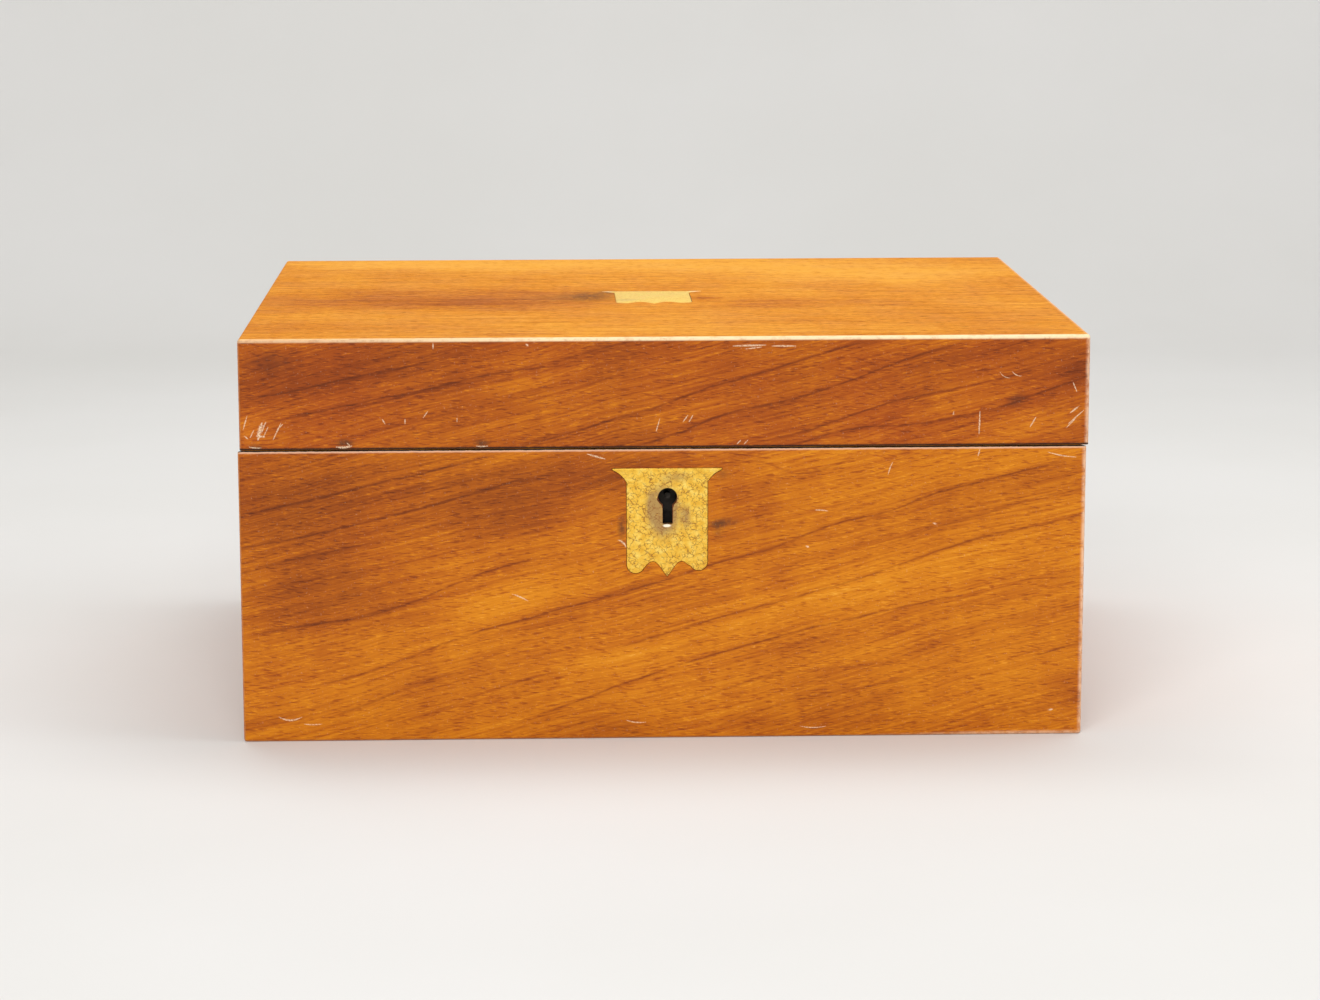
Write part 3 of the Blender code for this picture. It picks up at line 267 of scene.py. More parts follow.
def emboss(tree, shader, height, strength, depth):
    """Lets a pattern of heights catch the light, as if it were depth metres deep."""
    bump = add(tree, "Bump", {"Strength": strength, "Distance": depth, "Height": height})
    feed(tree, shader.inputs["Normal"], bump.outputs["Normal"])


def new_material(name):
    """Empty material. Returns it, its tree and its shader."""
    material = bpy.data.materials.new(name)
    material.use_nodes = True
    tree = material.node_tree
    return material, tree, tree.nodes["Principled BSDF"]


def ruler(tree, across, upwards, depth=None):
    """Object coordinates in millimetres, with the named axes as X, Y and Z."""
    parts = add(tree, "SeparateXYZ", {"Vector": add(tree, "TexCoord").outputs["Object"]}).outputs
    turned = {"X": parts[across], "Y": parts[upwards], "Z": parts[depth] if depth else 0.0}
    placed = add(tree, "CombineXYZ", turned).outputs[0]
    return vector_calc(tree, "SCALE", placed, Scale=1 / MM)


print("helpers ready")

# %% [markdown]
# ## What wood is made of
# A sheet of veneer shows three things at once. Broad bands come from the growth
# rings, which the saw has cut at a slant. Fine streaks run along the same lines.
# Pores, the cut ends of the tree's vessels, are short dark dashes that lie along the
# sheet whatever the figure does. Each is a node group, so that every board in the box
# can use it with its own length, lean and seed. Positions are in millimetres, which
# keeps the numbers as plain as those on a ruler.

# %% Wood groups
def make_figure_group():
    """Bands and streaks that follow a leaning, gently wandering grain."""
    tree, given, result = new_group(
        "wood figure",
        {"Position": (0, 0, 0), "Lean": 0.2, "Breadth": 5.0, "Wander": 5.0, "Seed": 0.0},
        ("Bands", "Streaks"),
    )
    turned = add(tree, "VectorRotate", {
        "Vector": given["Position"], "Angle": given["Lean"],
    }, rotation_type="Z_AXIS", invert=True)
    parts = add(tree, "SeparateXYZ", {"Vector": turned.outputs[0]}).outputs
    drift = noise(tree, given["Position"], 0.012, seed=given["Seed"])
    shift = swing(tree, drift, given["Wander"])
    across = calc(tree, "ADD", parts["Y"], shift)
    wide = add(tree, "CombineXYZ", {
        "X": calc(tree, "MULTIPLY", parts["X"], 0.008),
        "Y": calc(tree, "DIVIDE", across, given["Breadth"]),
    }).outputs[0]
    fine = add(tree, "CombineXYZ", {
        "X": calc(tree, "MULTIPLY", parts["X"], 0.024),
        "Y": across,
    }).outputs[0]
    feed(tree, result["Bands"], noise(tree, wide, 0.9, 4.0, 0.6, given["Seed"]))
    feed(tree, result["Streaks"], noise(tree, fine, 1.3, 4.0, 0.65, given["Seed"]))
    return tree


def make_pores_group():
    """Short dashes along X. Amount says how much of the surface they take."""
    tree, given, result = new_group(
        "wood pores",
        {"Position": (0, 0, 0), "Length": 3.2, "Breadth": 0.42, "Amount": 0.35, "Seed": 0.0},
        ("Dashes",),
    )
    parts = add(tree, "SeparateXYZ", {"Vector": given["Position"]}).outputs
    bow = noise(tree, given["Position"], 0.03, 1.0, 0.4, given["Seed"])
    lean = calc(tree, "MULTIPLY_ADD", bow, 5.0, parts["Y"])
    stretched = add(tree, "CombineXYZ", {
        "X": calc(tree, "DIVIDE", parts["X"], given["Length"]),
        "Y": calc(tree, "DIVIDE", lean, given["Breadth"]),
    }).outputs[0]
    dashes = noise(tree, stretched, 0.62, 2.0, 0.5, given["Seed"])
    limit = calc(tree, "SUBTRACT", 0.76, calc(tree, "MULTIPLY", given["Amount"], 0.5))
    mask = spread(tree, dashes, limit, calc(tree, "ADD", limit, 0.10))
    feed(tree, result["Dashes"], mask)
    return tree


def make_vein_group():
    """A dark growth line. Offset is the distance above it, Along the place on it."""
    tree, given, result = new_group(
        "wood vein",
        {"Offset": 0.0, "Along": 0.0, "Start": 0.0, "End": 100.0, "Breadth": 0.5, "Seed": 0.0},
        ("Core", "Shade"),
    )
    place = add(tree, "CombineXYZ", {
        "X": given["Along"], "Y": calc(tree, "MULTIPLY", given["Offset"], 3.0),
    }).outputs[0]
    waver = calc(tree, "SUBTRACT", noise(tree, place, 0.22, 3.0, 0.6, given["Seed"]), 0.5)
    offset = calc(tree, "MULTIPLY_ADD", waver, 1.3, given["Offset"])
    near = calc(tree, "DIVIDE", offset, given["Breadth"])
    core = calc(tree, "EXPONENT", calc(tree, "MULTIPLY", calc(tree, "MULTIPLY", near, near), -1.0))
    shade = calc(tree, "MULTIPLY", spread(tree, near, -5.0, 0.0), spread(tree, near, 3.5, 0.0))
    inside = calc(tree, "MULTIPLY",
                  spread(tree, given["Along"], given["Start"], calc(tree, "ADD", given["Start"], 14.0)),
                  spread(tree, given["Along"], given["End"], calc(tree, "SUBTRACT", given["End"], 18.0)))
    broken = spread(tree, noise(tree, place, 0.08, 3.0, 0.7, given["Seed"]), 0.32, 0.60, 0.25, 1.0)
    inside = calc(tree, "MULTIPLY", inside, broken)
    feed(tree, result["Core"], calc(tree, "MULTIPLY", core, inside))
    feed(tree, result["Shade"], calc(tree, "MULTIPLY", shade, inside))
    return tree


FIGURE = make_figure_group()
PORES = make_pores_group()
VEIN = make_vein_group()
print("wood groups", [group.name for group in (FIGURE, PORES, VEIN)])

# %% [markdown]
# ## What use does to a surface
# Polish wears off where hands and table tops touch: first along the edges, then at
# the corners. Other marks are single events: a scratch, a dent, a smear. The worn
# edge is worked out from the box's own size, and so is the crest along the upper
# front edge, whose pale band is partly worn wood and partly a painted highlight. A
# point lies near an edge when it is close to two of the box's planes at once, and the
# second smallest of its three distances says how close. A scratch is the distance to a
# short line, and a patch is the distance to a leaning ellipse.

# %% Wear groups
def make_edge_wear_and_highlight_group():
    """Wear is 1 along a box's edges, Crest along its upper front edge, where a painted highlight goes.
    Sizes in millimetres.
    """
    tree, given, result = new_group(
        "worn edge",
        {"Position": (0, 0, 0), "Centre": (0, 0, 0), "Half": (1, 1, 1), "Reach": 1.5, "Crest Reach": 1.8},
        ("Wear", "Crest"),
    )
    local = vector_calc(tree, "SUBTRACT", given["Position"], given["Centre"])
    inwards = vector_calc(tree, "SUBTRACT", given["Half"], vector_calc(tree, "ABSOLUTE", local))
    parts = add(tree, "SeparateXYZ", {"Vector": inwards}).outputs
    lesser = calc(tree, "MINIMUM", parts["X"], parts["Y"])
    greater = calc(tree, "MAXIMUM", parts["X"], parts["Y"])
    second = calc(tree, "MAXIMUM", lesser, calc(tree, "MINIMUM", greater, parts["Z"]))
    inner = calc(tree, "MULTIPLY", given["Reach"], 0.2)
    feed(tree, result["Wear"], spread(tree, second, given["Reach"], inner))
    half = add(tree, "SeparateXYZ", {"Vector": given["Half"]}).outputs
    place = add(tree, "SeparateXYZ", {"Vector": local}).outputs
    from_front = calc(tree, "ADD", half["Y"], place["Y"])
    from_top = calc(tree, "SUBTRACT", half["Z"], place["Z"])
    crest = calc(tree, "MAXIMUM", from_front, from_top)
    reach = given["Crest Reach"]
    feed(tree, result["Crest"], spread(tree, crest, reach, calc(tree, "MULTIPLY", reach, 0.55)))
    return tree


def make_rim_group():
    """1 on a line where a slanting plane meets the surface, 0 beyond Reach."""
    tree, given, result = new_group(
        "rim line", {"Position": (0, 0, 0), "Point": (0, 0, 0), "Reach": 0.6}, ("Line",)
    )
    away = vector_calc(tree, "SUBTRACT", given["Position"], given["Point"])
    height = vector_calc(tree, "DOT_PRODUCT", away, tuple(OFF_SLOPE), result="Value")
    ragged = noise(tree, given["Position"], 0.55, 4.0, 0.7)
    distance = calc(tree, "ADD", calc(tree, "ABSOLUTE", height), calc(tree, "MULTIPLY", ragged, 0.5))
    reach = calc(tree, "ADD", given["Reach"], 0.25)
    feed(tree, result["Line"], spread(tree, distance, reach, calc(tree, "MULTIPLY", reach, 0.5)))
    return tree


def make_scratch_group():
    """Thin line from Start to End, tapered at both ends, bent by Bow."""
    tree, given, result = new_group(
        "scratch",
        {"Position": (0, 0, 0), "Start": (0, 0, 0), "End": (1, 0, 0), "Breadth": 0.4, "Bow": 0.0},
        ("Mark",),
    )
    way = vector_calc(tree, "SUBTRACT", given["End"], given["Start"])
    local = vector_calc(tree, "SUBTRACT", given["Position"], given["Start"])
    length = vector_calc(tree, "LENGTH", way, result="Value")
    square = calc(tree, "MULTIPLY", length, length)
    share = calc(tree, "DIVIDE", vector_calc(tree, "DOT_PRODUCT", local, way, result="Value"), square)
    share = calc(tree, "MINIMUM", calc(tree, "MAXIMUM", share, 0.0), 1.0)
    along = vector_calc(tree, "SCALE", way, Scale=share)
    away = vector_calc(tree, "SUBTRACT", local, along)
    side = vector_calc(tree, "CROSS_PRODUCT", way, (0, 0, 1))
    rise = calc(tree, "MULTIPLY", calc(tree, "MULTIPLY", share, calc(tree, "SUBTRACT", 1.0, share)), 4.0)
    bend = calc(tree, "DIVIDE", calc(tree, "MULTIPLY", rise, given["Bow"]), length)
    away = vector_calc(tree, "SUBTRACT", away, vector_calc(tree, "SCALE", side, Scale=bend))
    distance = vector_calc(tree, "LENGTH", away, result="Value")
    ragged = noise(tree, given["Position"], 1.9, 3.0, 0.7)
    width = calc(tree, "MULTIPLY", given["Breadth"], calc(tree, "MULTIPLY_ADD", ragged, 1.6, -0.2))
    width = calc(tree, "MULTIPLY", width, calc(tree, "MULTIPLY_ADD", rise, 0.7, 0.3))
    feed(tree, result["Mark"], spread(tree, distance, width, 0.0))
    return tree


def make_patch_group():
    """Soft leaning ellipse, 1 at its centre and 0 at its reach."""
    tree, given, result = new_group(
        "patch",
        {"Position": (0, 0, 0), "Centre": (0, 0, 0), "Reach": (1, 1, 1), "Lean": 0.0},
        ("Patch",),
    )
    turned = add(tree, "VectorRotate", {
        "Vector": given["Position"], "Center": given["Centre"], "Angle": given["Lean"],
    }, rotation_type="Z_AXIS", invert=True).outputs[0]
    from_centre = vector_calc(tree, "SUBTRACT", turned, given["Centre"])
    local = vector_calc(tree, "DIVIDE", from_centre, given["Reach"])
    distance = vector_calc(tree, "LENGTH", local, result="Value")
    feed(tree, result["Patch"], spread(tree, distance, 1.0, 0.0))
    return tree


def make_rub_group():
    """Hair-fine random rubs: thin dashes in two crossing directions."""
    tree, given, result = new_group(
        "fine rubs", {"Position": (0, 0, 0), "Amount": 0.4, "Seed": 0.0}, ("Rubs",)
    )
    layers = []
    for lean, seed in ((0.5, 1.3), (1.25, 5.9), (-0.35, 9.1)):
        turned = add(tree, "VectorRotate", {
            "Vector": given["Position"], "Angle": lean,
        }, rotation_type="Z_AXIS").outputs[0]
        stretched = vector_calc(tree, "MULTIPLY", turned, (0.10, 3.2, 0.1))
        lines = noise(tree, stretched, 1.0, 1.0, 0.3, calc(tree, "ADD", given["Seed"], seed))
        layers.append(spread(tree, lines, 0.735, 0.80))
    worn = noise(tree, given["Position"], 0.03, 3.0, 0.6, given["Seed"])
    least = calc(tree, "SUBTRACT", 0.75, calc(tree, "MULTIPLY", given["Amount"], 0.4))
    where = spread(tree, worn, least, 0.8)
    feed(tree, result["Rubs"], calc(tree, "MULTIPLY", total(tree, layers), where))
    return tree


EDGE_WEAR_AND_HIGHLIGHT = make_edge_wear_and_highlight_group()
RIM = make_rim_group()
SCRATCH = make_scratch_group()
PATCH = make_patch_group()
RUBS = make_rub_group()
print("wear groups", [group.name for group in (EDGE_WEAR_AND_HIGHLIGHT, RIM, SCRATCH, PATCH, RUBS)])

# %% [markdown]
# ## The floor and the light
# The desk stands on a plain pale floor that curves up into a backdrop, as in a
# photographer's studio. The curve is a quarter circle between the floor and the
# wall, so that no line shows behind the box. Three large soft lamps light it: one
# high in front, which shows the figure of the wood, one above and behind, which draws
# the bright line along the worn front edge, and a weak one at the right.

# %% Build the cove
COVE_WIDTH = 8.0
COVE_FRONT = -6.0
COVE_BACK = 1.5
COVE_HEIGHT = 2.6
COVE_CURVE = 0.6
COVE_STEPS = 24


def build_cove():
    """Sweeps a floor line, a quarter circle and a wall line across the width."""
    shape = bmesh.new()
    first = shape.verts.new((-COVE_WIDTH / 2, COVE_FRONT, 0))
    bend = shape.verts.new((-COVE_WIDTH / 2, COVE_BACK - COVE_CURVE, 0))
    shape.edges.new((first, bend))
    bmesh.ops.spin(
        shape, geom=[bend], cent=(0, COVE_BACK - COVE_CURVE, COVE_CURVE), axis=(1, 0, 0),
        angle=math.pi / 2, steps=COVE_STEPS, use_merge=False,
    )
    top = max(shape.verts, key=lambda vert: vert.co.z + vert.co.y)
    last = shape.verts.new((-COVE_WIDTH / 2, COVE_BACK, COVE_HEIGHT))
    shape.edges.new((top, last))
    swept = bmesh.ops.extrude_edge_only(shape, edges=list(shape.edges))
    moved = [item for item in swept["geom"] if isinstance(item, bmesh.types.BMVert)]
    bmesh.ops.translate(shape, verts=moved, vec=(COVE_WIDTH, 0, 0))
    shape.normal_update()
    shape.faces.ensure_lookup_table()
    if min(shape.faces, key=lambda face: face.calc_center_median().z).normal.z < 0:
        bmesh.ops.reverse_faces(shape, faces=shape.faces)
    mesh = bpy.data.meshes.new("studio_cove")
    shape.to_mesh(mesh)
    shape.free()
    mesh.shade_smooth()
    return bpy.data.objects.new("studio_cove", mesh)


def cove_finish():
    """Matt pale paint with a faint mottle. From behind, the camera looks through it."""
    material, tree, shader = new_material("cove_paint")
    place = add(tree, "TexCoord").outputs["Object"]
    mottle = spread(tree, noise(tree, place, 3.0, 4.0), 0.3, 0.7)
    colour = mix_colour(tree, mottle, srgb(226, 225, 222), srgb(230, 229, 227))
    feed(tree, shader.inputs["Base Color"], colour)
    shader.inputs["Roughness"].default_value = 0.9
    shader.inputs["Specular IOR Level"].default_value = 0.1
    behind = add(tree, "NewGeometry").outputs["Backfacing"]
    seen = add(tree, "LightPath").outputs["Is Camera Ray"]
    feed(tree, shader.inputs["Alpha"], calc(tree, "SUBTRACT", 1.0, calc(tree, "MULTIPLY", behind, seen)))
    return material


cove = build_cove()
cove.data.materials.append(cove_finish())
bpy.context.scene.collection.objects.link(cove)
print("cove faces", len(cove.data.polygons))

# %% Hang the lamps
AIM = Vector((0, 0, HEIGHT / 2))
# Name, place, size and power of each lamp.
LAMPS = (
    ("front_lamp", (-0.35, -1.9, 1.25), (1.4, 0.9), 26.0),
    ("edge_lamp", (0.1, 0.28, 1.35), (1.5, 0.5), 9.0),
    ("side_lamp", (1.7, -0.5, 0.9), (0.8, 0.8), 7.0),
)
SKY_COLOUR = (1.0, 0.99, 0.975, 1)
SKY_STRENGTH = 0.42


def hang_lamp(name, place, size, power):
    """Rectangular soft lamp turned towards the box."""
    data = bpy.data.lights.new(name, "AREA")
    data.shape = "RECTANGLE"
    data.size = size[0]
    data.size_y = size[1]
    data.energy = power
    lamp = bpy.data.objects.new(name, data)
    lamp.location = place
    lamp.rotation_mode = "QUATERNION"
    lamp.rotation_quaternion = (AIM - Vector(place)).to_track_quat("-Z", "Y")
    bpy.context.scene.collection.objects.link(lamp)


for lamp in LAMPS:
    hang_lamp(*lamp)

world = bpy.data.worlds.new("studio")
bpy.context.scene.world = world
world.use_nodes = True
sky = world.node_tree.nodes["Background"]
sky.inputs["Color"].default_value = SKY_COLOUR
sky.inputs["Strength"].default_value = SKY_STRENGTH
bpy.context.scene.view_settings.view_transform = "Standard"
print("lamps hung", [lamp[0] for lamp in LAMPS])

# %% [markdown]
# ## The veneer on the front
# Both halves were veneered together and then sawn apart, so the figure runs on
# across the seam: one finish serves both fronts. Its strongest growth lines are
# placed one by one, each as a curve through a few points that were read off the picture.
# A curve node turns the place across the box into the line's height there. Between
# them the wood groups fill in bands, streaks and pores. Broad soft patches make some
# parts more golden and others redder, as years of light and polish have.

# %% Growth lines of the front, in pixels of the picture
FRONT_VEINS = {
    "upper_left": ((240, 515), (289, 505), (332, 495), (375, 484), (424, 473), (460, 464), (498, 455)),
    "second_left": ((240, 548), (289, 540), (345, 527), (407, 512), (460, 497), (524, 478)),
    "third_left": ((240, 573), (278, 563), (328, 552), (375, 540), (417, 529), (460, 520)),
    "middle_left": ((257, 634), (310, 625), (353, 619), (407, 604), (460, 582), (503, 567), (535, 559)),
    "low_left": ((321, 685), (374, 670), (438, 646), (488, 629), (524, 620), (560, 609)),
    "foot_left": ((342, 713), (383, 698), (413, 685), (460, 672)),
    "foot_middle": ((400, 722), (450, 706), (492, 690), (560, 670)),
    "from_plate": (
        (560, 609), (584, 603), (626, 591), (669, 579), (717, 563), (770, 549), (800, 537), (838, 523),
        (886, 512), (934, 494), (991, 479), (1058, 462),
    ),
    "right_upper": ((896, 540), (943, 525), (991, 512), (1039, 497), (1083, 489)),
    "right_middle": (
        (628, 645), (664, 634), (717, 618), (788, 599), (848, 582), (896, 566), (953, 546), (991, 535),
        (1049, 523), (1083, 514),
    ),
    "low_long": (
        (548, 712), (575, 702), (628, 682), (699, 659), (766, 640), (823, 625), (876, 613), (950, 597),
    ),
    "low_right": ((660, 710), (710, 694), (766, 677), (842, 667), (893, 662)),
    "foot_right": ((717, 726), (788, 702), (841, 691), (894, 682), (960, 668)),
    "short_right": ((1036, 656), (1060, 648), (1082, 643)),
    "under_seam": ((711, 466), (760, 462), (800, 473), (848, 460), (880, 452)),
}
LID_VEINS = {
    "lid_left": ((240, 399), (284, 393), (332, 382), (378, 373), (420, 364)),
    "lid_left_long": ((291, 418), (332, 409), (378, 399), (420, 391), (458, 382), (493, 374), (560, 366)),
    "lid_left_double": ((349, 409), (380, 402), (410, 395), (448, 387), (483, 380)),
    "lid_centre": (
        (525, 445), (560, 436), (608, 421), (656, 407), (705, 389), (751, 376), (799, 361),
        (837, 349), (863, 342),
    ),
    "lid_upper": ((470, 378), (510, 370), (560, 360), (608, 347), (640, 341)),
    "lid_under": (
        (640, 445), (675, 434), (732, 412), (786, 401), (840, 384), (886, 367), (919, 355), (963, 343),
    ),
    "lid_right_middle": (
        (770, 440), (809, 430), (850, 416), (896, 401), (953, 389), (1001, 378), (1030, 370),
    ),
    "lid_right_low": (
        (800, 443), (857, 428), (915, 424), (972, 414), (1003, 406), (1039, 393), (1087, 376),
    ),
}
FAINT_VEINS = (
    "third_left", "foot_middle", "foot_right", "under_seam", "low_right", "right_upper",
    "lid_left_double", "lid_upper",
)
print("growth lines", len(FRONT_VEINS) + len(LID_VEINS))

# %% [markdown]
# Each patch below is a centre in pixels, its reach in millimetres, its lean in
# degrees and how much lighter or darker it makes the wood. Scratches are given by
# their two ends, their breadth and their bow in pixels.

# %% Patches and marks, placed by the picture
BASE_TONES = (
    ((300, 495), (84, 38), 12, -0.28),
    ((290, 600), (38, 24), 8, -0.09),
    ((350, 590), (56, 26), 10, -0.09),
    ((520, 500), (60, 20), 10, -0.22),
    ((640, 470), (60, 10), 4, -0.16),
    ((270, 690), (20, 24), 0, -0.05),
    ((440, 640), (44, 10), 14, 0.08),
    ((520, 600), (36, 9), 16, 0.13),
    ((640, 660), (60, 12), 15, 0.08),
    ((820, 600), (70, 18), 14, 0.10),
    ((940, 560), (56, 18), 14, 0.13),
    ((1000, 670), (50, 20), 12, 0.09),
    ((980, 475), (40, 12), 10, 0.05),
    ((745, 500), (22, 14), 20, -0.12),
    ((1040, 475), (26, 8), 14, -0.10),
    ((960, 488), (30, 6), 14, -0.08),
    ((1075, 690), (10, 20), 80, -0.06),
    ((720, 725), (120, 5), 1, -0.06),
)
LID_TONES = (
    ((330, 375), (70, 16), 10, -0.14),
    ((262, 362), (10, 6), 0, -0.12),
    ((250, 432), (14, 9), 0, 0.10),
    ((640, 352), (70, 6), 6, -0.04),
    ((560, 420), (60, 8), 12, 0.06),
    ((760, 425), (60, 8), 14, 0.02),
    ((1040, 422), (30, 8), 14, 0.18),
    ((960, 395), (50, 10), 10, 0.06),
    ((940, 355), (50, 6), 4, -0.08),
    ((1016, 400), (7, 4), 20, -0.16),
    ((1075, 372), (12, 6), 14, -0.16),
    ((760, 352), (50, 4), 2, 0.06),
)
BASE_SMUDGES = (
    ((722, 523), (9, 2.6), 6, 0.80),
    ((718, 530), (3, 5), 0, 0.45),
    ((622, 527), (2.4, 6.5), 0, 0.80),
    ((722, 474), (5, 3), 0, 0.40),
)
LID_SMUDGES = (
    ((270, 362), (14, 7), 0, 0.30),
    ((1016, 400), (5, 3.5), 20, 0.50),
    ((345, 443), (5, 2.2), 0, 1.00),
    ((482, 443), (4, 2.0), 0, 1.00),
    ((256, 447), (4, 1.6), 0, 0.90),
)
BASE_MARKS = (
    ((279, 717), (302, 717), 2.4, 3.5),
    ((304, 724), (322, 724), 1.6, 0.8),
    ((587, 454), (605, 459), 2.4, 0.0),
    ((512, 594), (528, 601), 1.8, -0.6),
    ((618, 540), (626, 547), 2.6, -1.4),
    ((626, 720), (646, 722), 1.6, 1.4),
    ((893, 462), (888, 475), 1.4, 0.6),
    ((933, 523), (937, 524), 2.2, 0.0),
    ((1048, 710), (1053, 709), 2.4, 0.0),
    ((800, 726), (826, 726), 1.4, 1.6),
    ((806, 546), (809, 547), 2.6, 0.0),
    ((815, 510), (828, 511), 1.6, -0.4),
    ((980, 449), (978, 456), 1.8, 0.0),
    ((1048, 452), (1076, 457), 1.6, 1.0),
)
LID_MARKS = (
    ((247, 416), (243, 430), 1.6, 0.0),
    ((262, 423), (258, 440), 5.0, 0.4),
    ((266, 422), (262, 432), 2.0, 0.4),
    ((256, 436), (265, 437), 2.2, 0.0),
    ((254, 430), (250, 438), 1.6, 0.0),
    ((277, 430), (283, 424), 1.4, 0.0),
    ((281, 423), (273, 440), 1.8, 0.0),
    ((268, 427), (263, 438), 1.4, 0.0),
    ((244, 436), (248, 439), 1.8, 0.0),
    ((382, 419), (385, 424), 1.6, 0.0),
    ((405, 419), (405, 424), 1.6, 0.0),
    ((457, 418), (457, 422), 1.6, 0.0),
    ((433, 343), (433, 349), 1.8, 0.0),
    ((428, 411), (423, 418), 1.4, 0.0),
    ((526, 344), (528, 346), 3.0, 0.0),
    ((336, 447), (352, 446), 3.0, 1.0),
    ((347, 443), (350, 446), 1.6, 0.0),
    ((249, 447), (261, 448), 1.8, 0.5),
    ((476, 446), (488, 446), 1.8, 0.5),
    ((688, 415), (683, 422), 1.5, 0.0),
    ((693, 415), (689, 422), 1.5, 0.0),
    ((660, 418), (656, 432), 1.4, 0.0),
    ((741, 440), (737, 444), 1.5, 0.0),
    ((748, 440), (744, 444), 1.5, 0.0),
    ((733, 346), (766, 345), 2.6, 0.0),
    ((745, 349), (762, 347), 1.6, 0.0),
    ((772, 346), (796, 346), 2.2, 0.0),
    ((980, 411), (979, 434), 2.0, 0.0),
    ((1036, 417), (1030, 427), 1.8, 0.0),
    ((1073, 382), (1077, 392), 1.6, 0.0),
    ((1079, 406), (1070, 413), 2.2, 0.0),
    ((1084, 410), (1068, 424), 1.6, 0.0),
    ((1076, 418), (1066, 428), 1.4, 0.0),
    ((1000, 372), (1010, 378), 1.2, 1.6),
    ((1012, 371), (1022, 376), 1.2, 1.6),
    ((954, 411), (953, 415), 1.2, 0.0),
)
print("marks", len(BASE_MARKS) + len(LID_MARKS))

# %% [markdown]
# ## The polish on the veneer
# One function mixes the parts of the finish, and each face of the box calls it with
# its own figure, lean and seed. A single number, the tone, gathers all that makes the
# wood lighter or darker. Two colour ramps turn it into a golden and a redder wood,
# and a slow noise chooses between them. Over that lie the pores, the pale worn edges
# and the scratches. The worn edges grow paler towards the right corner, and a pale band
# runs along the upper front edge: both are partly wear and partly a painted highlight.
# A dark line in the seam is painted shade. Old french polish is a soft gloss: the
# roughness rises where the surface is rubbed, and a bump node lets the pores sink a
# little.

# %% Veneer finish
DARK_VEIN = srgb(104, 48, 14)
GOLDEN = (
    (0.00, srgb(96, 42, 6)), (0.25, srgb(142, 68, 8)), (0.45, srgb(180, 94, 10)),
    (0.60, srgb(204, 118, 12)), (0.75, srgb(221, 138, 20)), (1.00, srgb(240, 170, 58)),
)
REDDISH = (
    (0.00, srgb(92, 36, 6)), (0.25, srgb(132, 56, 10)), (0.45, srgb(166, 76, 14)),
    (0.60, srgb(188, 96, 18)), (0.75, srgb(206, 114, 26)), (1.00, srgb(228, 148, 62)),
)
BARE_WOOD = srgb(214, 150, 98)
# Pale band along the upper front edge: partly worn wood, partly a painted highlight.
PALE_EDGE_AND_HIGHLIGHT = srgb(255, 228, 182)
# Paler worn edge towards the right corner: partly wear, partly a painted highlight.
WORN_CORNER_AND_HIGHLIGHT = srgb(240, 196, 160)
SMUDGE = srgb(92, 52, 30)
SCUFFED = srgb(240, 214, 180)
# Painted shade: the dark line in the gap between the two halves.
SEAM_SHADE = srgb(34, 14, 8)


def front_curve(tree, place, pixels):
    """Height of a given line, in millimetres, above each place across the front."""
    points = [on_front(pixel) for pixel in pixels]
    width = (base_high.x - base_low.x) / MM
    left = base_low.x / MM
    top = HEIGHT / MM
    share = calc(tree, "DIVIDE", calc(tree, "SUBTRACT", place["X"], left), width)
    made = add(tree, "FloatCurve", {"Value": share})
    curve = made.mapping.curves[0]
    ends = (points[0], points[-1])
    for point, end in zip((curve.points[0], curve.points[1]), ends):
        point.location = ((end.x - left) / width, end.y / top)
    for middle in points[1:-1]:
        curve.points.new((middle.x - left) / width, middle.y / top)
    made.mapping.extend = "EXTRAPOLATED"
    made.mapping.update()
    return calc(tree, "MULTIPLY", made.outputs[0], top)


def add_veins(tree, position, veins):
    """Dark cores and soft shades of the listed growth lines."""
    place = add(tree, "SeparateXYZ", {"Vector": position}).outputs
    cores = []
    shades = []
    for count, (name, pixels) in enumerate(veins.items()):
        height = front_curve(tree, place, pixels)
        made = place_group(
            tree, VEIN, offset=calc(tree, "SUBTRACT", place["Y"], height), along=place["X"],
            start=on_front(pixels[0]).x - 6, end=on_front(pixels[-1]).x + 8, breadth=0.38,
            seed=count * 1.7,
        )
        strength = 0.45 if name in FAINT_VEINS else 1.0
        cores.append(calc(tree, "MULTIPLY", made["Core"], strength))
        shades.append(calc(tree, "MULTIPLY", made["Shade"], strength))
    return total(tree, cores), total(tree, shades)


def add_tones(tree, position, tones, place_of):
    """Sum of the soft patches, each lighter or darker by its own amount."""
    parts = []
    for centre, reach, lean, amount in tones:
        made = place_group(
            tree, PATCH, position=position, centre=place_of(centre),
            reach=(*reach, 1.0), lean=math.radians(lean),
        )
        parts.append(calc(tree, "MULTIPLY", made["Patch"], amount))
    return total(tree, parts)


def add_marks(tree, position, marks, place_of):
    """All the placed scratches as one mask."""
    pixel = (on_front((PICTURE[0], 0)) - on_front((0, 0))).length / PICTURE[0]
    parts = []
    for start, end, breadth, bow in marks:
        made = place_group(
            tree, SCRATCH, position=position, start=place_of(start), end=place_of(end),
            breadth=breadth * pixel, bow=bow * pixel,
        )
        parts.append(made["Mark"])
    torn = spread(tree, noise(tree, position, 1.7, 3.0, 0.7), 0.40, 0.56, 0.25, 1.0)
    return calc(tree, "MULTIPLY", calc(tree, "MINIMUM", total(tree, parts), 1.0), torn)


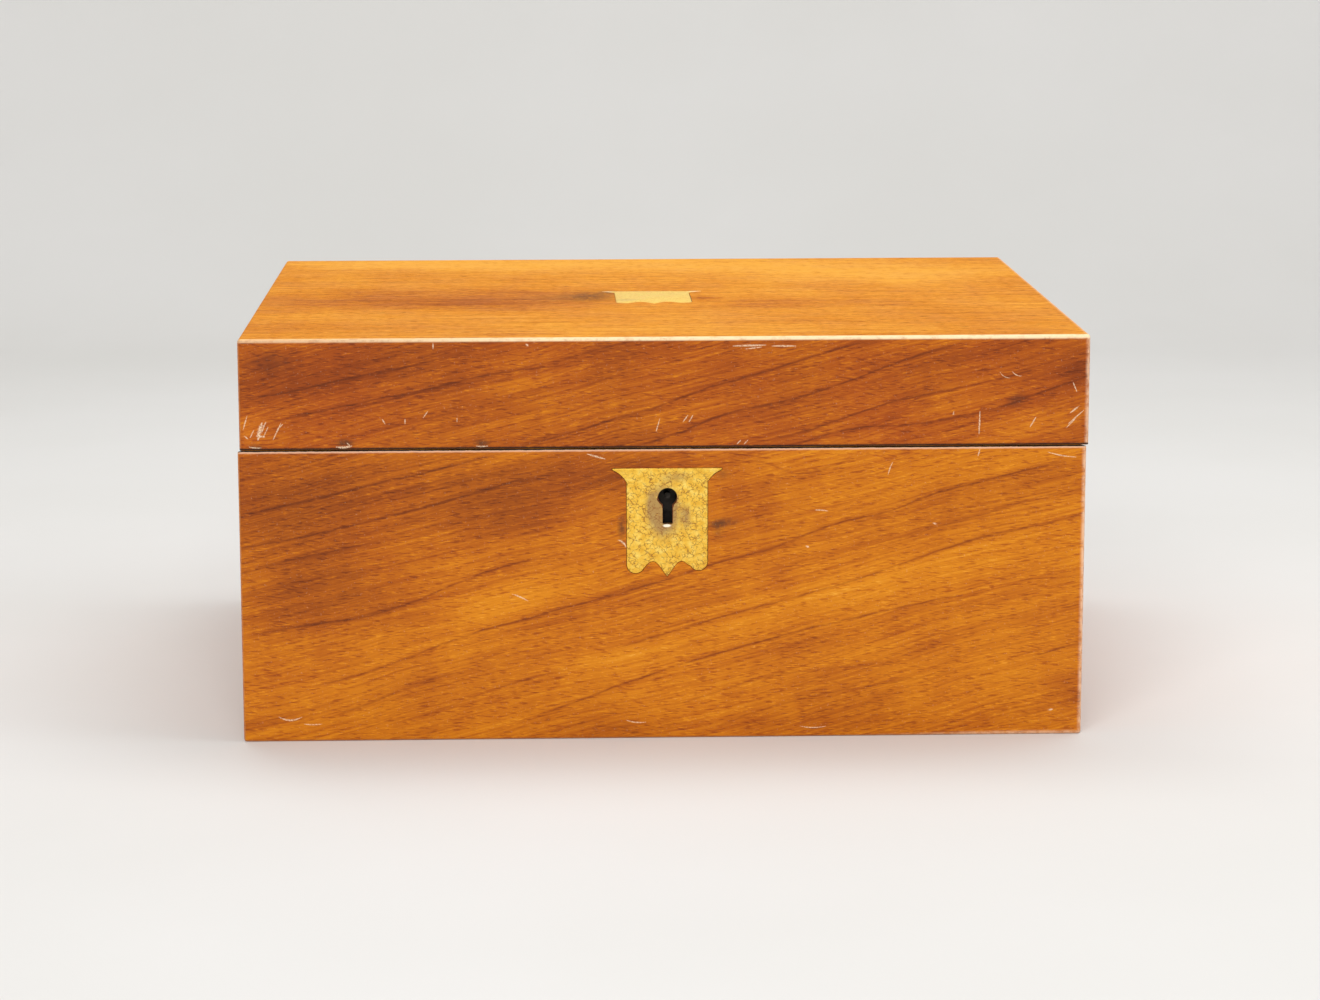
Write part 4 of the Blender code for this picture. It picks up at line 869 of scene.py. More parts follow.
def veneer_finish(name, axes, lean, seed, half_box, tones=None, veins=None, marks=None, rims=(),
                  smudges=(), place_of=on_front, level=0.5, redness=0.5, dullness=0.34, shine=0.20,
                  grain=1.0):
    """Polished veneer for one face. axes are the object's axes across and up it, and
    place_of turns the pixels of tones, marks and smudges into places on it."""
    material, tree, shader = new_material(name)
    position = ruler(tree, *axes)
    figure = place_group(
        tree, FIGURE, position=position, lean=math.radians(lean), breadth=5.0, wander=9.0, seed=seed
    )
    bands = swing(tree, figure["Bands"], 0.35)
    streaks = swing(tree, figure["Streaks"], 0.60 * grain)
    cloud = swing(tree, noise(tree, position, 0.025, 3.0, 0.5, seed), 0.35)
    # Soft slanted stripes: the ribbon figure, with the wood's chatoyance painted in as tone, so partly
    # painted sheen.
    slanted = add(tree, "Mapping", {
        "Vector": position, "Rotation": (0, 0, math.radians(24)), "Scale": (0.16, 0.035, 1.0),
    }).outputs[0]
    ribbon = swing(tree, noise(tree, slanted, 1.0, 2.0, 0.6, seed + 5.0), 0.13)
    tone = calc(tree, "ADD", total(tree, [bands, streaks, cloud, ribbon]), level)
    if tones:
        tone = calc(tree, "ADD", tone, add_tones(tree, position, tones, place_of))
    core = 0.0
    if veins:
        core, shade = add_veins(tree, position, veins)
        tone = calc(tree, "MULTIPLY_ADD", shade, -0.075, tone)
        tone = calc(tree, "MULTIPLY_ADD", core, -0.15, tone)
    pores = place_group(
        tree, PORES, position=position, length=2.5, breadth=0.34, amount=0.42, seed=seed
    )["Dashes"]
    pale = place_group(
        tree, PORES, position=position, length=2.1, breadth=0.32, amount=0.36, seed=seed + 7.0
    )["Dashes"]
    tone = calc(tree, "MULTIPLY_ADD", pores, -0.17 * grain, tone)
    tone = calc(tree, "MULTIPLY_ADD", pale, 0.14 * grain, tone)
    golden = ramp(tree, tone, *GOLDEN)
    reddish = ramp(tree, tone, *REDDISH)
    slow = calc(tree, "SUBTRACT", noise(tree, position, 0.022, 3.0, 0.6, seed + 3.0), 0.5)
    patchy = calc(tree, "ADD", slow, calc(tree, "MULTIPLY_ADD", tone, -0.7, redness + 0.35))
    colour = mix_colour(tree, spread(tree, patchy, 0.15, 0.85), golden, reddish)
    if veins:
        colour = mix_colour(tree, calc(tree, "MULTIPLY", core, 0.30), colour, DARK_VEIN)
    if smudges:
        dirt = calc(tree, "MULTIPLY", add_tones(tree, position, smudges, place_of),
                    spread(tree, noise(tree, position, 0.5, 4.0, 0.7, seed), 0.30, 0.56, 0.2, 1.0))
        colour = mix_colour(tree, calc(tree, "MINIMUM", dirt, 0.85), colour, SMUDGE)
    specks = spread(tree, noise(tree, position, 1.2, 3.0, 0.75, seed + 9.0), 0.60, 0.72, 0.0, 0.20)
    colour = mix_colour(tree, specks, colour, SCUFFED)

    low, high = half_box
    solid_place = ruler(tree, "X", "Y", "Z")
    across = add(tree, "SeparateXYZ", {"Vector": solid_place}).outputs["X"]
    # Towards the right the worn edges grow wider and paler: partly wear, partly the painted highlight
    # down the right corner.
    at_right = spread(tree, across, 60.0, 130.0)
    edges = place_group(
        tree, EDGE_WEAR_AND_HIGHLIGHT, position=solid_place, centre=(low + high) / 2 / MM, half=(high - low) / 2 / MM,
        reach=calc(tree, "MULTIPLY_ADD", at_right, 1.1, 0.9), crest_reach=1.6,
    )
    ragged = noise(tree, solid_place, 0.35, 4.0, 0.7, seed)
    wear = calc(tree, "MULTIPLY", edges["Wear"], spread(tree, ragged, 0.34, 0.60, 0.25, 1.0))
    wear = calc(tree, "MULTIPLY", wear, calc(tree, "MULTIPLY_ADD", at_right, 0.26, 0.66))
    colour = mix_colour(tree, wear, colour, mix_colour(tree, at_right, BARE_WOOD, WORN_CORNER_AND_HIGHLIGHT))
    # The crest band along the upper front edge is partly worn wood and partly a painted highlight, weaker
    # towards the left.
    crest = calc(tree, "MULTIPLY", edges["Crest"], spread(tree, ragged, 0.30, 0.55, 0.66, 1.0))
    crest = calc(tree, "MULTIPLY", crest, spread(tree, across, -150.0, -20.0, 0.55, 1.0))
    colour = mix_colour(tree, calc(tree, "MULTIPLY", crest, 0.92), colour, PALE_EDGE_AND_HIGHLIGHT)
    # Each rim paints a line along the seam; the dark one is painted shade in the gap.
    for point, reach, tint, amount in rims:
        line = place_group(tree, RIM, position=solid_place, point=point / MM, reach=reach)["Line"]
        colour = mix_colour(tree, calc(tree, "MULTIPLY", line, amount), colour, tint)

    rubs = place_group(tree, RUBS, position=position, amount=0.30, seed=seed)["Rubs"]
    scuffs = calc(tree, "MULTIPLY", rubs, 0.30)
    if marks:
        placed = add_marks(tree, position, marks, place_of)
        scuffs = calc(tree, "MAXIMUM", scuffs, placed)
    colour = mix_colour(tree, calc(tree, "MINIMUM", scuffs, 0.85), colour, SCUFFED)

    feed(tree, shader.inputs["Base Color"], colour)
    smeared = noise(tree, position, 0.05, 3.0, 0.6, seed)
    gloss = spread(tree, smeared, 0.3, 0.7, dullness - 0.05, dullness + 0.06)
    rough = calc(tree, "MULTIPLY_ADD", scuffs, 0.3, calc(tree, "MULTIPLY_ADD", pores, 0.12, gloss))
    feed(tree, shader.inputs["Roughness"], rough)
    shader.inputs["Specular IOR Level"].default_value = shine
    height = calc(tree, "MULTIPLY_ADD", pores, -0.6, calc(tree, "MULTIPLY", scuffs, -0.8))
    ripple = noise(tree, position, 0.06, 1.0, 0.4, seed + 2.0)
    height = calc(tree, "MULTIPLY_ADD", ripple, 1.6, height)
    emboss(tree, shader, height, 0.25, 0.06 * MM)
    return material


# Each box runs on past its half, so that only the half's own edges are worn.
BEYOND = 30 * MM
BASE_BOX = (Vector((base_low.x, FRONT_Y, 0)), Vector((base_high.x, BACK_Y, HEIGHT + BEYOND)))
LID_BOX = (Vector((lid_low.x, FRONT_Y, -BEYOND)), lid_high)
# Rims: point, reach, colour and amount. The pale line lies along the base's rim; the dark one is painted
# shade in the seam's gap.
BASE_RIMS = (
    (BASE_RIM_FRONT, 1.05, srgb(236, 190, 158), 0.80),
    (BASE_RIM_FRONT, 0.34, SEAM_SHADE, 0.95),
)
LID_RIMS = ((LID_RIM_FRONT, 1.10, SEAM_SHADE, 0.95),)
base_front_finish = veneer_finish(
    "base_front_veneer", ("X", "Z"), 14, 2.0, BASE_BOX, BASE_TONES, FRONT_VEINS, BASE_MARKS,
    rims=BASE_RIMS, smudges=BASE_SMUDGES, level=0.56, redness=0.28,
)
lid_front_finish = veneer_finish(
    "lid_front_veneer", ("X", "Z"), 14, 2.0, LID_BOX, LID_TONES, LID_VEINS, LID_MARKS,
    rims=LID_RIMS, smudges=LID_SMUDGES, level=0.45, redness=0.50,
)
print("front finishes", base_front_finish.name, lid_front_finish.name)

# %% Sides, back and top
# The broad lighter patches towards the back of the top are painted sheen; the others are the wood's own
# tone.
TOP_TONES_AND_SHEEN = (
    ((704, 298), (8, 12), 0, -0.20),
    ((430, 300), (110, 56), 0, -0.26),
    ((500, 304), (60, 30), 0, -0.10),
    ((820, 302), (60, 30), 0, -0.12),
    ((290, 328), (40, 40), 0, -0.10),
    ((980, 325), (50, 40), 0, -0.08),
    ((620, 264), (150, 52), 0, 0.26),
    ((860, 272), (110, 60), 0, 0.22),
    ((400, 264), (90, 34), 0, 0.18),
    ((640, 330), (90, 40), 0, 0.06),
)
TOP_SMUDGES = (
    ((592, 296), (16, 26), 0, 0.62),
    ((566, 298), (24, 20), 0, 0.34),
    ((609, 293), (7, 12), 0, 0.40),
)
base_side_finish = veneer_finish(
    "base_side_veneer", ("Y", "Z"), 5, 11.0, BASE_BOX, rims=BASE_RIMS, level=0.56
)
lid_side_finish = veneer_finish(
    "lid_side_veneer", ("Y", "Z"), 5, 11.0, LID_BOX, rims=LID_RIMS, level=0.54
)
base_back_finish = veneer_finish(
    "base_back_veneer", ("X", "Z"), -4, 23.0, BASE_BOX, rims=BASE_RIMS, level=0.52
)
lid_back_finish = veneer_finish(
    "lid_back_veneer", ("X", "Z"), -4, 23.0, LID_BOX, rims=LID_RIMS, level=0.50
)
# The top has little shine of its own: its high level and the lighter patches at the back are partly
# painted sheen.
top_finish = veneer_finish(
    "lid_top_veneer", ("X", "Y"), 0.5, 31.0, LID_BOX, TOP_TONES_AND_SHEEN, smudges=TOP_SMUDGES, place_of=on_top,
    level=0.76, redness=0.10, dullness=0.62, shine=0.08, grain=2.0,
)
OTHER_FINISHES = (base_side_finish, lid_side_finish, base_back_finish, lid_back_finish, top_finish)
print("other finishes", [finish.name for finish in OTHER_FINISHES])

# %% [markdown]
# ## The two veneered shells
# On the real box the sheets of veneer are glued round a plain carcass and the corners
# are sanded until the joints vanish, so each half is built as one continuous shell.
# It starts as a cube of the whole box's size. A plane cuts it at the seam. The edges
# are rounded with bevels, and a narrow inset keeps the flat faces flat when the
# shading is smoothed. It is narrower than the corners' rounding, or its own corners
# would cross. A boolean takes the inside out and leaves walls as thick as the veneer,
# and more booleans make room for the inlaid plates and for the hinges.

# %% Shell helpers
UPRIGHT_ROUND = 1.4 * MM
LEVEL_ROUND = 1.2 * MM
RIM_ROUND = 0.28 * MM
SHADING_INSET = 0.12 * MM
ROUND_STEPS = 6
RIM_STEPS = 2
TOUCHING = 1e-6
LARGE_FACE = 1e-3
BELOW_FOOT = 1 * MM


def finished_piece(shape, name, body, materials, smooth=None):
    """Object from a bmesh, at the origin, riding on its body."""
    mesh = bpy.data.meshes.new(name)
    shape.to_mesh(mesh)
    shape.free()
    made = bpy.data.objects.new(name, mesh)
    bpy.context.scene.collection.objects.link(made)
    for material in materials:
        mesh.materials.append(material)
    if smooth:
        mesh.shade_smooth()
        mesh.set_sharp_from_angle(angle=math.radians(smooth))
    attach(made, body)
    return made


def round_edges(shape, edges, radius, steps):
    """Bevel with the same settings as the editor's."""
    return bmesh.ops.bevel(
        shape, geom=edges, offset=radius, segments=steps, profile=0.5, affect="EDGES", material=-1
    )


def box_shape(low, high):
    """Cube between two corners."""
    shape = bmesh.new()
    bmesh.ops.create_cube(shape, size=1)
    bmesh.ops.scale(shape, vec=high - low, verts=shape.verts)
    bmesh.ops.translate(shape, vec=(low + high) / 2, verts=shape.verts)
    return shape


def cut_out(piece, cutter_shape):
    """Takes a shape away from a piece, and applies the result."""
    mesh = bpy.data.meshes.new("cutter")
    cutter_shape.to_mesh(mesh)
    cutter_shape.free()
    cutter = bpy.data.objects.new("cutter", mesh)
    bpy.context.scene.collection.objects.link(cutter)
    boolean = piece.modifiers.new("cut", "BOOLEAN")
    boolean.operation = "DIFFERENCE"
    boolean.solver = "EXACT"
    boolean.use_self = True
    boolean.object = cutter
    graph = bpy.context.evaluated_depsgraph_get()
    result = bpy.data.meshes.new_from_object(piece.evaluated_get(graph))
    piece.modifiers.clear()
    piece.data = result
    bpy.data.objects.remove(cutter)


def is_upright(edge):
    """True for an edge that stands nearly upright."""
    first, last = (vert.co for vert in edge.verts)
    return abs((first - last).normalized().z) > 0.9


def lies_at(edge, height):
    """True for an edge at one height."""
    return all(abs(vert.co.z - height) < TOUCHING for vert in edge.verts)


def on_rim(edge, rim_point):
    """True for an edge in the seam's plane."""
    return all(abs((vert.co - rim_point).dot(OFF_SLOPE)) < TOUCHING for vert in edge.verts)


def shell_shape(low, high, rim_point, keep_above):
    """Solid half of the box with its edges rounded, cut off at the seam."""
    shape = box_shape(low, high)
    bmesh.ops.bisect_plane(
        shape, geom=list(shape.verts) + list(shape.edges) + list(shape.faces), plane_co=rim_point,
        plane_no=OFF_SLOPE, clear_outer=not keep_above, clear_inner=keep_above,
    )
    rim = [edge for edge in shape.edges if edge.is_boundary]
    bmesh.ops.contextual_create(shape, geom=rim)
    bmesh.ops.recalc_face_normals(shape, faces=shape.faces)
    round_edges(shape, [edge for edge in shape.edges if is_upright(edge)], UPRIGHT_ROUND, ROUND_STEPS)
    level = high.z if keep_above else low.z
    round_edges(shape, [edge for edge in shape.edges if lies_at(edge, level)], LEVEL_ROUND, ROUND_STEPS)
    round_edges(shape, [edge for edge in shape.edges if on_rim(edge, rim_point)], RIM_ROUND, RIM_STEPS)
    flats = [face for face in shape.faces if face.calc_area() > LARGE_FACE]
    bmesh.ops.inset_individual(shape, faces=flats, thickness=SHADING_INSET, use_even_offset=True)
    bmesh.ops.recalc_face_normals(shape, faces=shape.faces)
    return shape


def hollow(piece, low, high, keep_above):
    """Takes the inside out of a half, and leaves walls as thick as the veneer."""
    margin = Vector((VENEER, VENEER, 0))
    inner_low = low + margin
    inner_high = high - margin
    if keep_above:
        inner_high.z -= VENEER
        inner_low.z = 0
    else:
        inner_low.z -= BELOW_FOOT
        inner_high.z = HEIGHT
    cut_out(piece, box_shape(inner_low, inner_high))


def give_faces(piece, order):
    """Material slots by the way each face looks: front, back, side, top."""
    for polygon in piece.data.polygons:
        x, y, z = polygon.normal
        strongest = max(abs(x), abs(y), abs(z))
        if strongest == abs(y):
            polygon.material_index = order["front"] if y < 0 else order["back"]
        elif strongest == abs(x):
            polygon.material_index = order["side"]
        else:
            polygon.material_index = order.get("top", order["side"])


print("shell helpers ready")

# %% Build the two shells
def build_shells():
    """The base's shell and the lid's, each in the place of its veneer sheets."""
    foot = Vector((base_low.x, FRONT_Y, 0))
    above = Vector((base_high.x, BACK_Y, HEIGHT))
    base = finished_piece(
        shell_shape(foot, above, BASE_RIM_FRONT, keep_above=False),
        "base_veneer_shell", "base",
        [base_front_finish, base_side_finish, base_back_finish],
    )
    hollow(base, foot, above, keep_above=False)
    lid_foot = Vector((lid_low.x, FRONT_Y, 0))
    lid = finished_piece(
        shell_shape(lid_foot, lid_high, LID_RIM_FRONT, keep_above=True),
        "lid_veneer_shell", "lid",
        [lid_front_finish, lid_side_finish, lid_back_finish, top_finish],
    )
    hollow(lid, lid_foot, lid_high, keep_above=True)
    return base, lid


def report_size(piece):
    """Prints a piece's own size, in millimetres."""
    corners = [vert.co for vert in piece.data.vertices]
    size = [max(c[i] for c in corners) - min(c[i] for c in corners) for i in range(3)]
    print(piece.name, [round(value / MM, 2) for value in size], len(piece.data.polygons), "faces")


base_shell, lid_shell = build_shells()
report_size(base_shell)
report_size(lid_shell)

# %% [markdown]
# ## The inlaid brass plates
# An escutcheon guards the veneer round the keyhole, and a plate of the same pattern
# lies in the top, for initials. Both are sawn from sheet brass along one outline:
# two ears, two round lobes, and a point between two small arches. The outline is
# drawn once, as shares of the plate's size, with the lobes as true arcs. Extruding it
# gives the sheet, a tiny bevel catches the light along its edge, and the same
# outline, a little larger, cuts its bed in the veneer.

# %% Plate outline
NECK_SHARE = 0.741
NECK_DROP_SHARE = 0.126
EAR_EDGE_SHARE = 0.013
EAR_SAG_SHARE = 0.02
LOBE_SHARE = 0.163
ARCH = ((0.371, 0.111), (0.315, 0.134), (0.264, 0.141), (0.213, 0.134),
        (0.162, 0.111), (0.112, 0.076), (0.056, 0.035))
LOBE_STEPS = 12
LOBE_TURN = math.radians(150)
EAR_STEPS = 5


def plate_side(half_width, length, lobe_rise, grow):
    """Right half of the outline, from the top of the ear to the last point of the arch."""
    neck = half_width * NECK_SHARE + grow
    neck_y = -length * NECK_DROP_SHARE
    lobe = half_width * LOBE_SHARE + grow
    ear = Vector((half_width + grow, -length * EAR_EDGE_SHARE - grow))
    points = [(half_width + grow, grow), tuple(ear)]
    for step in range(1, EAR_STEPS):
        share = step / EAR_STEPS
        sag = math.sin(math.pi * share) * half_width * EAR_SAG_SHARE
        point = ear.lerp(Vector((neck, neck_y)), share)
        points.append((point.x - sag, point.y + sag))
    points.append((neck, neck_y))
    for step in range(LOBE_STEPS + 1):
        angle = -LOBE_TURN * step / LOBE_STEPS
        x = neck - lobe + lobe * math.cos(angle)
        points.append((x, -length + lobe_rise + lobe + lobe * math.sin(angle) - grow))
    points += [(half_width * x, -length + length * rise - grow) for x, rise in ARCH]
    return points


def plate_outline(half_width, length, left_rise, right_rise, grow=0.0):
    """Whole outline, clockwise from the right ear. The top edge is at 0."""
    right = plate_side(half_width, length, right_rise, grow)
    left = plate_side(half_width, length, left_rise, grow)
    return right + [(0, -length - grow)] + [(-x, y) for x, y in reversed(left)]


def sheet_from(outline, place, thickness_way):
    """Flat outline, placed by place(u, v), made a solid sheet."""
    shape = bmesh.new()
    face = shape.faces.new([shape.verts.new(place(u, v)) for u, v in outline])
    made = bmesh.ops.extrude_face_region(shape, geom=[face])
    moved = [item for item in made["geom"] if isinstance(item, bmesh.types.BMVert)]
    bmesh.ops.translate(shape, verts=moved, vec=thickness_way)
    bmesh.ops.recalc_face_normals(shape, faces=shape.faces)
    return shape


print("arch points", len(ARCH))

# %% [markdown]
# The keyhole is a round eye above a straight slot. Years of keys have worn its left
# side, so the outline has a shallow notch there. The hole's centre is read from the
# frame, which lists it among the part's openings.

# %% Keyhole outline
EYE_RADIUS = 3.55 * MM
EYE_NOTCH = 0.35 * MM
SLOT_HALF = 1.9 * MM
SLOT_FOOT = 9.75 * MM
EYE_STEPS = 36
NOTCH_AT = 192
NOTCH_BREADTH = 16
THROAT = 8
NECK_DROP = 1.12
FOOT_RISE = 0.4 * MM
FOOT_INSET = 0.5 * MM
openings = frame["record"]["physics"]["openings"]
keyhole_box = next(opening for opening in openings if opening["name"] == "keyhole")["box_m"]
KEYHOLE = (Vector(keyhole_box[0]) + Vector(keyhole_box[1])) / 2


def keyhole_outline():
    """Eye and slot round the keyhole's centre, in X and Z."""
    opening = math.degrees(math.asin(SLOT_HALF / EYE_RADIUS)) + THROAT
    points = []
    for step in range(EYE_STEPS + 1):
        angle = -90 + opening + (360 - 2 * opening) * step / EYE_STEPS
        notch = EYE_NOTCH * math.exp(-(((angle - NOTCH_AT) / NOTCH_BREADTH) ** 2))
        reach = EYE_RADIUS + notch
        points.append((reach * math.cos(math.radians(angle)), reach * math.sin(math.radians(angle))))
    neck = -EYE_RADIUS * NECK_DROP
    left = [(-SLOT_HALF, neck), (-SLOT_HALF, FOOT_RISE - SLOT_FOOT), (FOOT_INSET - SLOT_HALF, -SLOT_FOOT)]
    points += left + [(-x, z) for x, z in reversed(left)]
    return [(KEYHOLE.x + x, KEYHOLE.z + z) for x, z in points]


print("keyhole at, mm", [round(value / MM, 2) for value in KEYHOLE])

# %% [markdown]
# ## The brass of the plates
# Old brass in woodwork is never clean. It has been polished with the box for more
# than a century, so its lacquer has crazed into a net of fine dark cracks, darkest
# near the keyhole, where fingers and keys have rubbed it grey. The cracks are the
# borders of a cell pattern, warped by noise and broken here and there. Part of the
# shine is lost, so the roughness varies with the same patches.

# %% Brass finish with crazed lacquer
def make_crackle_group():
    """Net of fine cracks. Size is the width of a cell in millimetres."""
    tree, given, result = new_group(
        "crackle", {"Position": (0, 0, 0), "Size": 1.4, "Breadth": 0.07, "Seed": 0.0}, ("Cracks",)
    )
    warp = add(tree, "TexNoise", {"Vector": given["Position"], "Scale": 0.9, "Detail": 4.0})
    bent = vector_calc(tree, "SCALE", warp.outputs["Color"], Scale=2.2)
    moved = vector_calc(tree, "ADD", given["Position"], bent)
    scaled = vector_calc(tree, "DIVIDE", moved, add(tree, "CombineXYZ", {
        "X": given["Size"], "Y": calc(tree, "MULTIPLY", given["Size"], 0.75), "Z": 1.0,
    }).outputs[0])
    cells = add(tree, "TexVoronoi", {"Vector": scaled, "Scale": 1.0}, feature="DISTANCE_TO_EDGE",
                voronoi_dimensions="2D")
    line = spread(tree, cells.outputs["Distance"], given["Breadth"], 0.0)
    broken = spread(tree, noise(tree, given["Position"], 0.3, 3.0, 0.7, given["Seed"]), 0.42, 0.58)
    feed(tree, result["Cracks"], calc(tree, "MULTIPLY", line, broken))
    return tree


CRACKLE = make_crackle_group()
DRAWN_BRASS = srgb(168, 116, 34)
RUBBED_BRASS = srgb(160, 124, 74)
CRACK = srgb(134, 70, 14)
GLEAM = srgb(255, 246, 222)


def plate_brass(name, axes, bright, rubbed, gleams, clear=(), crazing=0.8):
    """Crazed brass for one inlaid plate. Each rub, gleam and clear place is a patch:
    centre, reach and amount. A clear place has fewer cracks."""
    material, tree, shader = new_material(name)
    position = ruler(tree, *axes)
    mottled = noise(tree, position, 0.35, 5.0, 0.65)
    gold = ramp(tree, mottled, (0.30, bright[0]), (0.50, bright[1]), (0.68, bright[2]))
    small = place_group(tree, CRACKLE, position=position, size=1.9, breadth=0.13)["Cracks"]
    large = place_group(tree, CRACKLE, position=position, size=4.2, breadth=0.07, seed=4.0)["Cracks"]
    drawn = vector_calc(tree, "MULTIPLY", position, (0.7, 3.4, 1.0))
    grain = spread(tree, noise(tree, drawn, 1.0, 3.0, 0.6), 0.56, 0.72)

    def patches(places):
        """Sum of soft round patches."""
        parts = []
        for place, reach, amount in places:
            made = place_group(tree, PATCH, position=position, centre=(*place, 0), reach=(*reach, 1))
            parts.append(calc(tree, "MULTIPLY", made["Patch"], amount))
        return total(tree, parts)

    torn = spread(tree, noise(tree, position, 0.5, 4.0, 0.7), 0.25, 0.5)
    rub = calc(tree, "MINIMUM", calc(tree, "MULTIPLY", patches(rubbed), torn), 1.0)
    colour = mix_colour(tree, calc(tree, "MULTIPLY", grain, 0.22), gold, DRAWN_BRASS)
    colour = mix_colour(tree, calc(tree, "MULTIPLY", rub, 0.85), colour, RUBBED_BRASS)
    cracks = calc(tree, "MINIMUM", calc(tree, "ADD", small, large), 1.0)
    if clear:
        whole = calc(tree, "SUBTRACT", 1.0, calc(tree, "MINIMUM", patches(clear), 1.0))
        cracks = calc(tree, "MULTIPLY", cracks, whole)
    colour = mix_colour(tree, calc(tree, "MULTIPLY", cracks, crazing), colour, CRACK)
    gleam = calc(tree, "MINIMUM", patches(gleams), 1.0)
    colour = mix_colour(tree, gleam, colour, GLEAM)
    feed(tree, shader.inputs["Base Color"], colour)
    dull = calc(tree, "MAXIMUM", cracks, calc(tree, "MAXIMUM", rub, gleam))
    shine = calc(tree, "SUBTRACT", 0.62, calc(tree, "MULTIPLY", dull, 0.5))
    feed(tree, shader.inputs["Metallic"], shine)
    rough = spread(tree, mottled, 0.3, 0.7, 0.34, 0.5)
    feed(tree, shader.inputs["Roughness"], calc(tree, "MULTIPLY_ADD", cracks, 0.25, rough))
    height = calc(tree, "MULTIPLY_ADD", cracks, -1.0, mottled)
    emboss(tree, shader, height, 0.35, 0.05 * MM)
    return material


plate_low, plate_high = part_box("escutcheon")
card_low, card_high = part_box("top_cartouche")
eye = (KEYHOLE.x / MM, KEYHOLE.z / MM)
escutcheon_brass = plate_brass(
    "escutcheon_brass", ("X", "Z"), (srgb(232, 172, 46), srgb(250, 202, 74), srgb(255, 226, 118)),
    rubbed=[
        ((eye[0] - 1.5, eye[1] - 5), (8.5, 13.5), 2.2), ((eye[0] + 6.5, eye[1] - 7), (3, 7), 1.0),
        ((eye[0] + 3, eye[1] + 7.5), (8, 3), 0.7), ((eye[0] - 6, eye[1] - 2), (3, 9), 0.6),
    ],
    gleams=[((eye[0] - 0.3, eye[1] - SLOT_FOOT / MM - 0.5), (1.9, 0.75), 2.2)],
    clear=[((eye[0] + x, plate_high.z / MM - 0.6), (12, 3.2), 0.85) for x in (-15, 15)],
)
left_ear = (card_low.x / MM + 2.0, card_high.y / MM - 1.5)
right_ear = (card_high.x / MM - 2.0, card_high.y / MM - 1.5)
cartouche_brass = plate_brass(
    "cartouche_brass", ("X", "Y"), (srgb(252, 196, 78), srgb(255, 214, 98), srgb(255, 228, 128)),
    rubbed=[((card_low.x / MM + 9, card_low.y / MM + 12), (7, 5), 0.3)],
    gleams=[(left_ear, (3.5, 3.5), 0.6), (right_ear, (4.5, 3.5), 0.6)],
    crazing=0.25,
)
print("plate, mm", [round(value / MM, 2) for value in plate_high - plate_low])

# %% Saw the plates and cut their beds
PLATE_EASE = 0.2 * MM
PLATE_SMOOTH = 50
BED_GAP = 0.16 * MM
OVERRUN = 2 * MM


def inlaid_plate(name, low, high, upright, left_rise, right_rise, material, body, host):
    """Brass sheet flush with its host, which gets a bed for it."""
    half = (high.x - low.x) / 2
    middle = (high.x + low.x) / 2
    top = high.z if upright else high.y
    length = top - (low.z if upright else low.y)
    thickness = (high.y - low.y) if upright else (high.z - low.z)

    def at(depth):
        if upright:
            return lambda u, v: (middle + u, low.y + depth, top + v)
        return lambda u, v: (middle + u, top + v, high.z - depth)

    inwards = Vector((0, thickness, 0)) if upright else Vector((0, 0, -thickness))
    shape = sheet_from(plate_outline(half, length, left_rise, right_rise), at(0), inwards)
    face_way = -inwards.normalized()
    showing = max(shape.faces, key=lambda face: face.calc_center_median().dot(face_way))
    round_edges(shape, list(showing.edges), PLATE_EASE, 2)
    plate = finished_piece(shape, name, body, [material], smooth=PLATE_SMOOTH)
    bed = sheet_from(
        plate_outline(half, length, left_rise, right_rise, BED_GAP), at(-OVERRUN),
        inwards.normalized() * (thickness + 2 * OVERRUN),
    )
    cut_out(host, bed)
    return plate


escutcheon = inlaid_plate(
    "brass_escutcheon", plate_low, plate_high, upright=True, left_rise=1.2 * MM, right_rise=2.1 * MM,
    material=escutcheon_brass, body="base", host=base_shell,
)
cartouche = inlaid_plate(
    "brass_cartouche", card_low, card_high, upright=False, left_rise=1.5 * MM, right_rise=1.9 * MM,
    material=cartouche_brass, body="lid", host=lid_shell,
)
hole = sheet_from(
    keyhole_outline(), lambda u, v: (u, FRONT_Y - OVERRUN, v), Vector((0, VENEER + 2 * OVERRUN, 0))
)
cut_out(escutcheon, hole)
escutcheon.data.shade_smooth()
escutcheon.data.set_sharp_from_angle(angle=math.radians(PLATE_SMOOTH))
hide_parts("escutcheon")
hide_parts("top_cartouche")
report_size(escutcheon)
report_size(cartouche)

# %% Cut the shells round the hinges
HINGE_GAP = 0.3 * MM


def hinge_room(side, half, up):
    """Block round one leaf of a main hinge, open towards the seam and the back."""
    low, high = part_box(f"{side}_hinge_{half}_leaf")
    seam = (low.z + high.z) / 2
    bottom = Vector((low.x - HINGE_GAP, low.y - HINGE_GAP, low.z - HINGE_GAP))
    top = Vector((high.x + HINGE_GAP, high.y + OVERRUN, high.z + HINGE_GAP))
    if up:
        bottom.z = seam - 2 * OVERRUN
    else:
        top.z = seam + 2 * OVERRUN
    return box_shape(bottom, top)


for side in ("left", "right"):
    cut_out(base_shell, hinge_room(side, "base", up=False))
    cut_out(lid_shell, hinge_room(side, "lid", up=True))

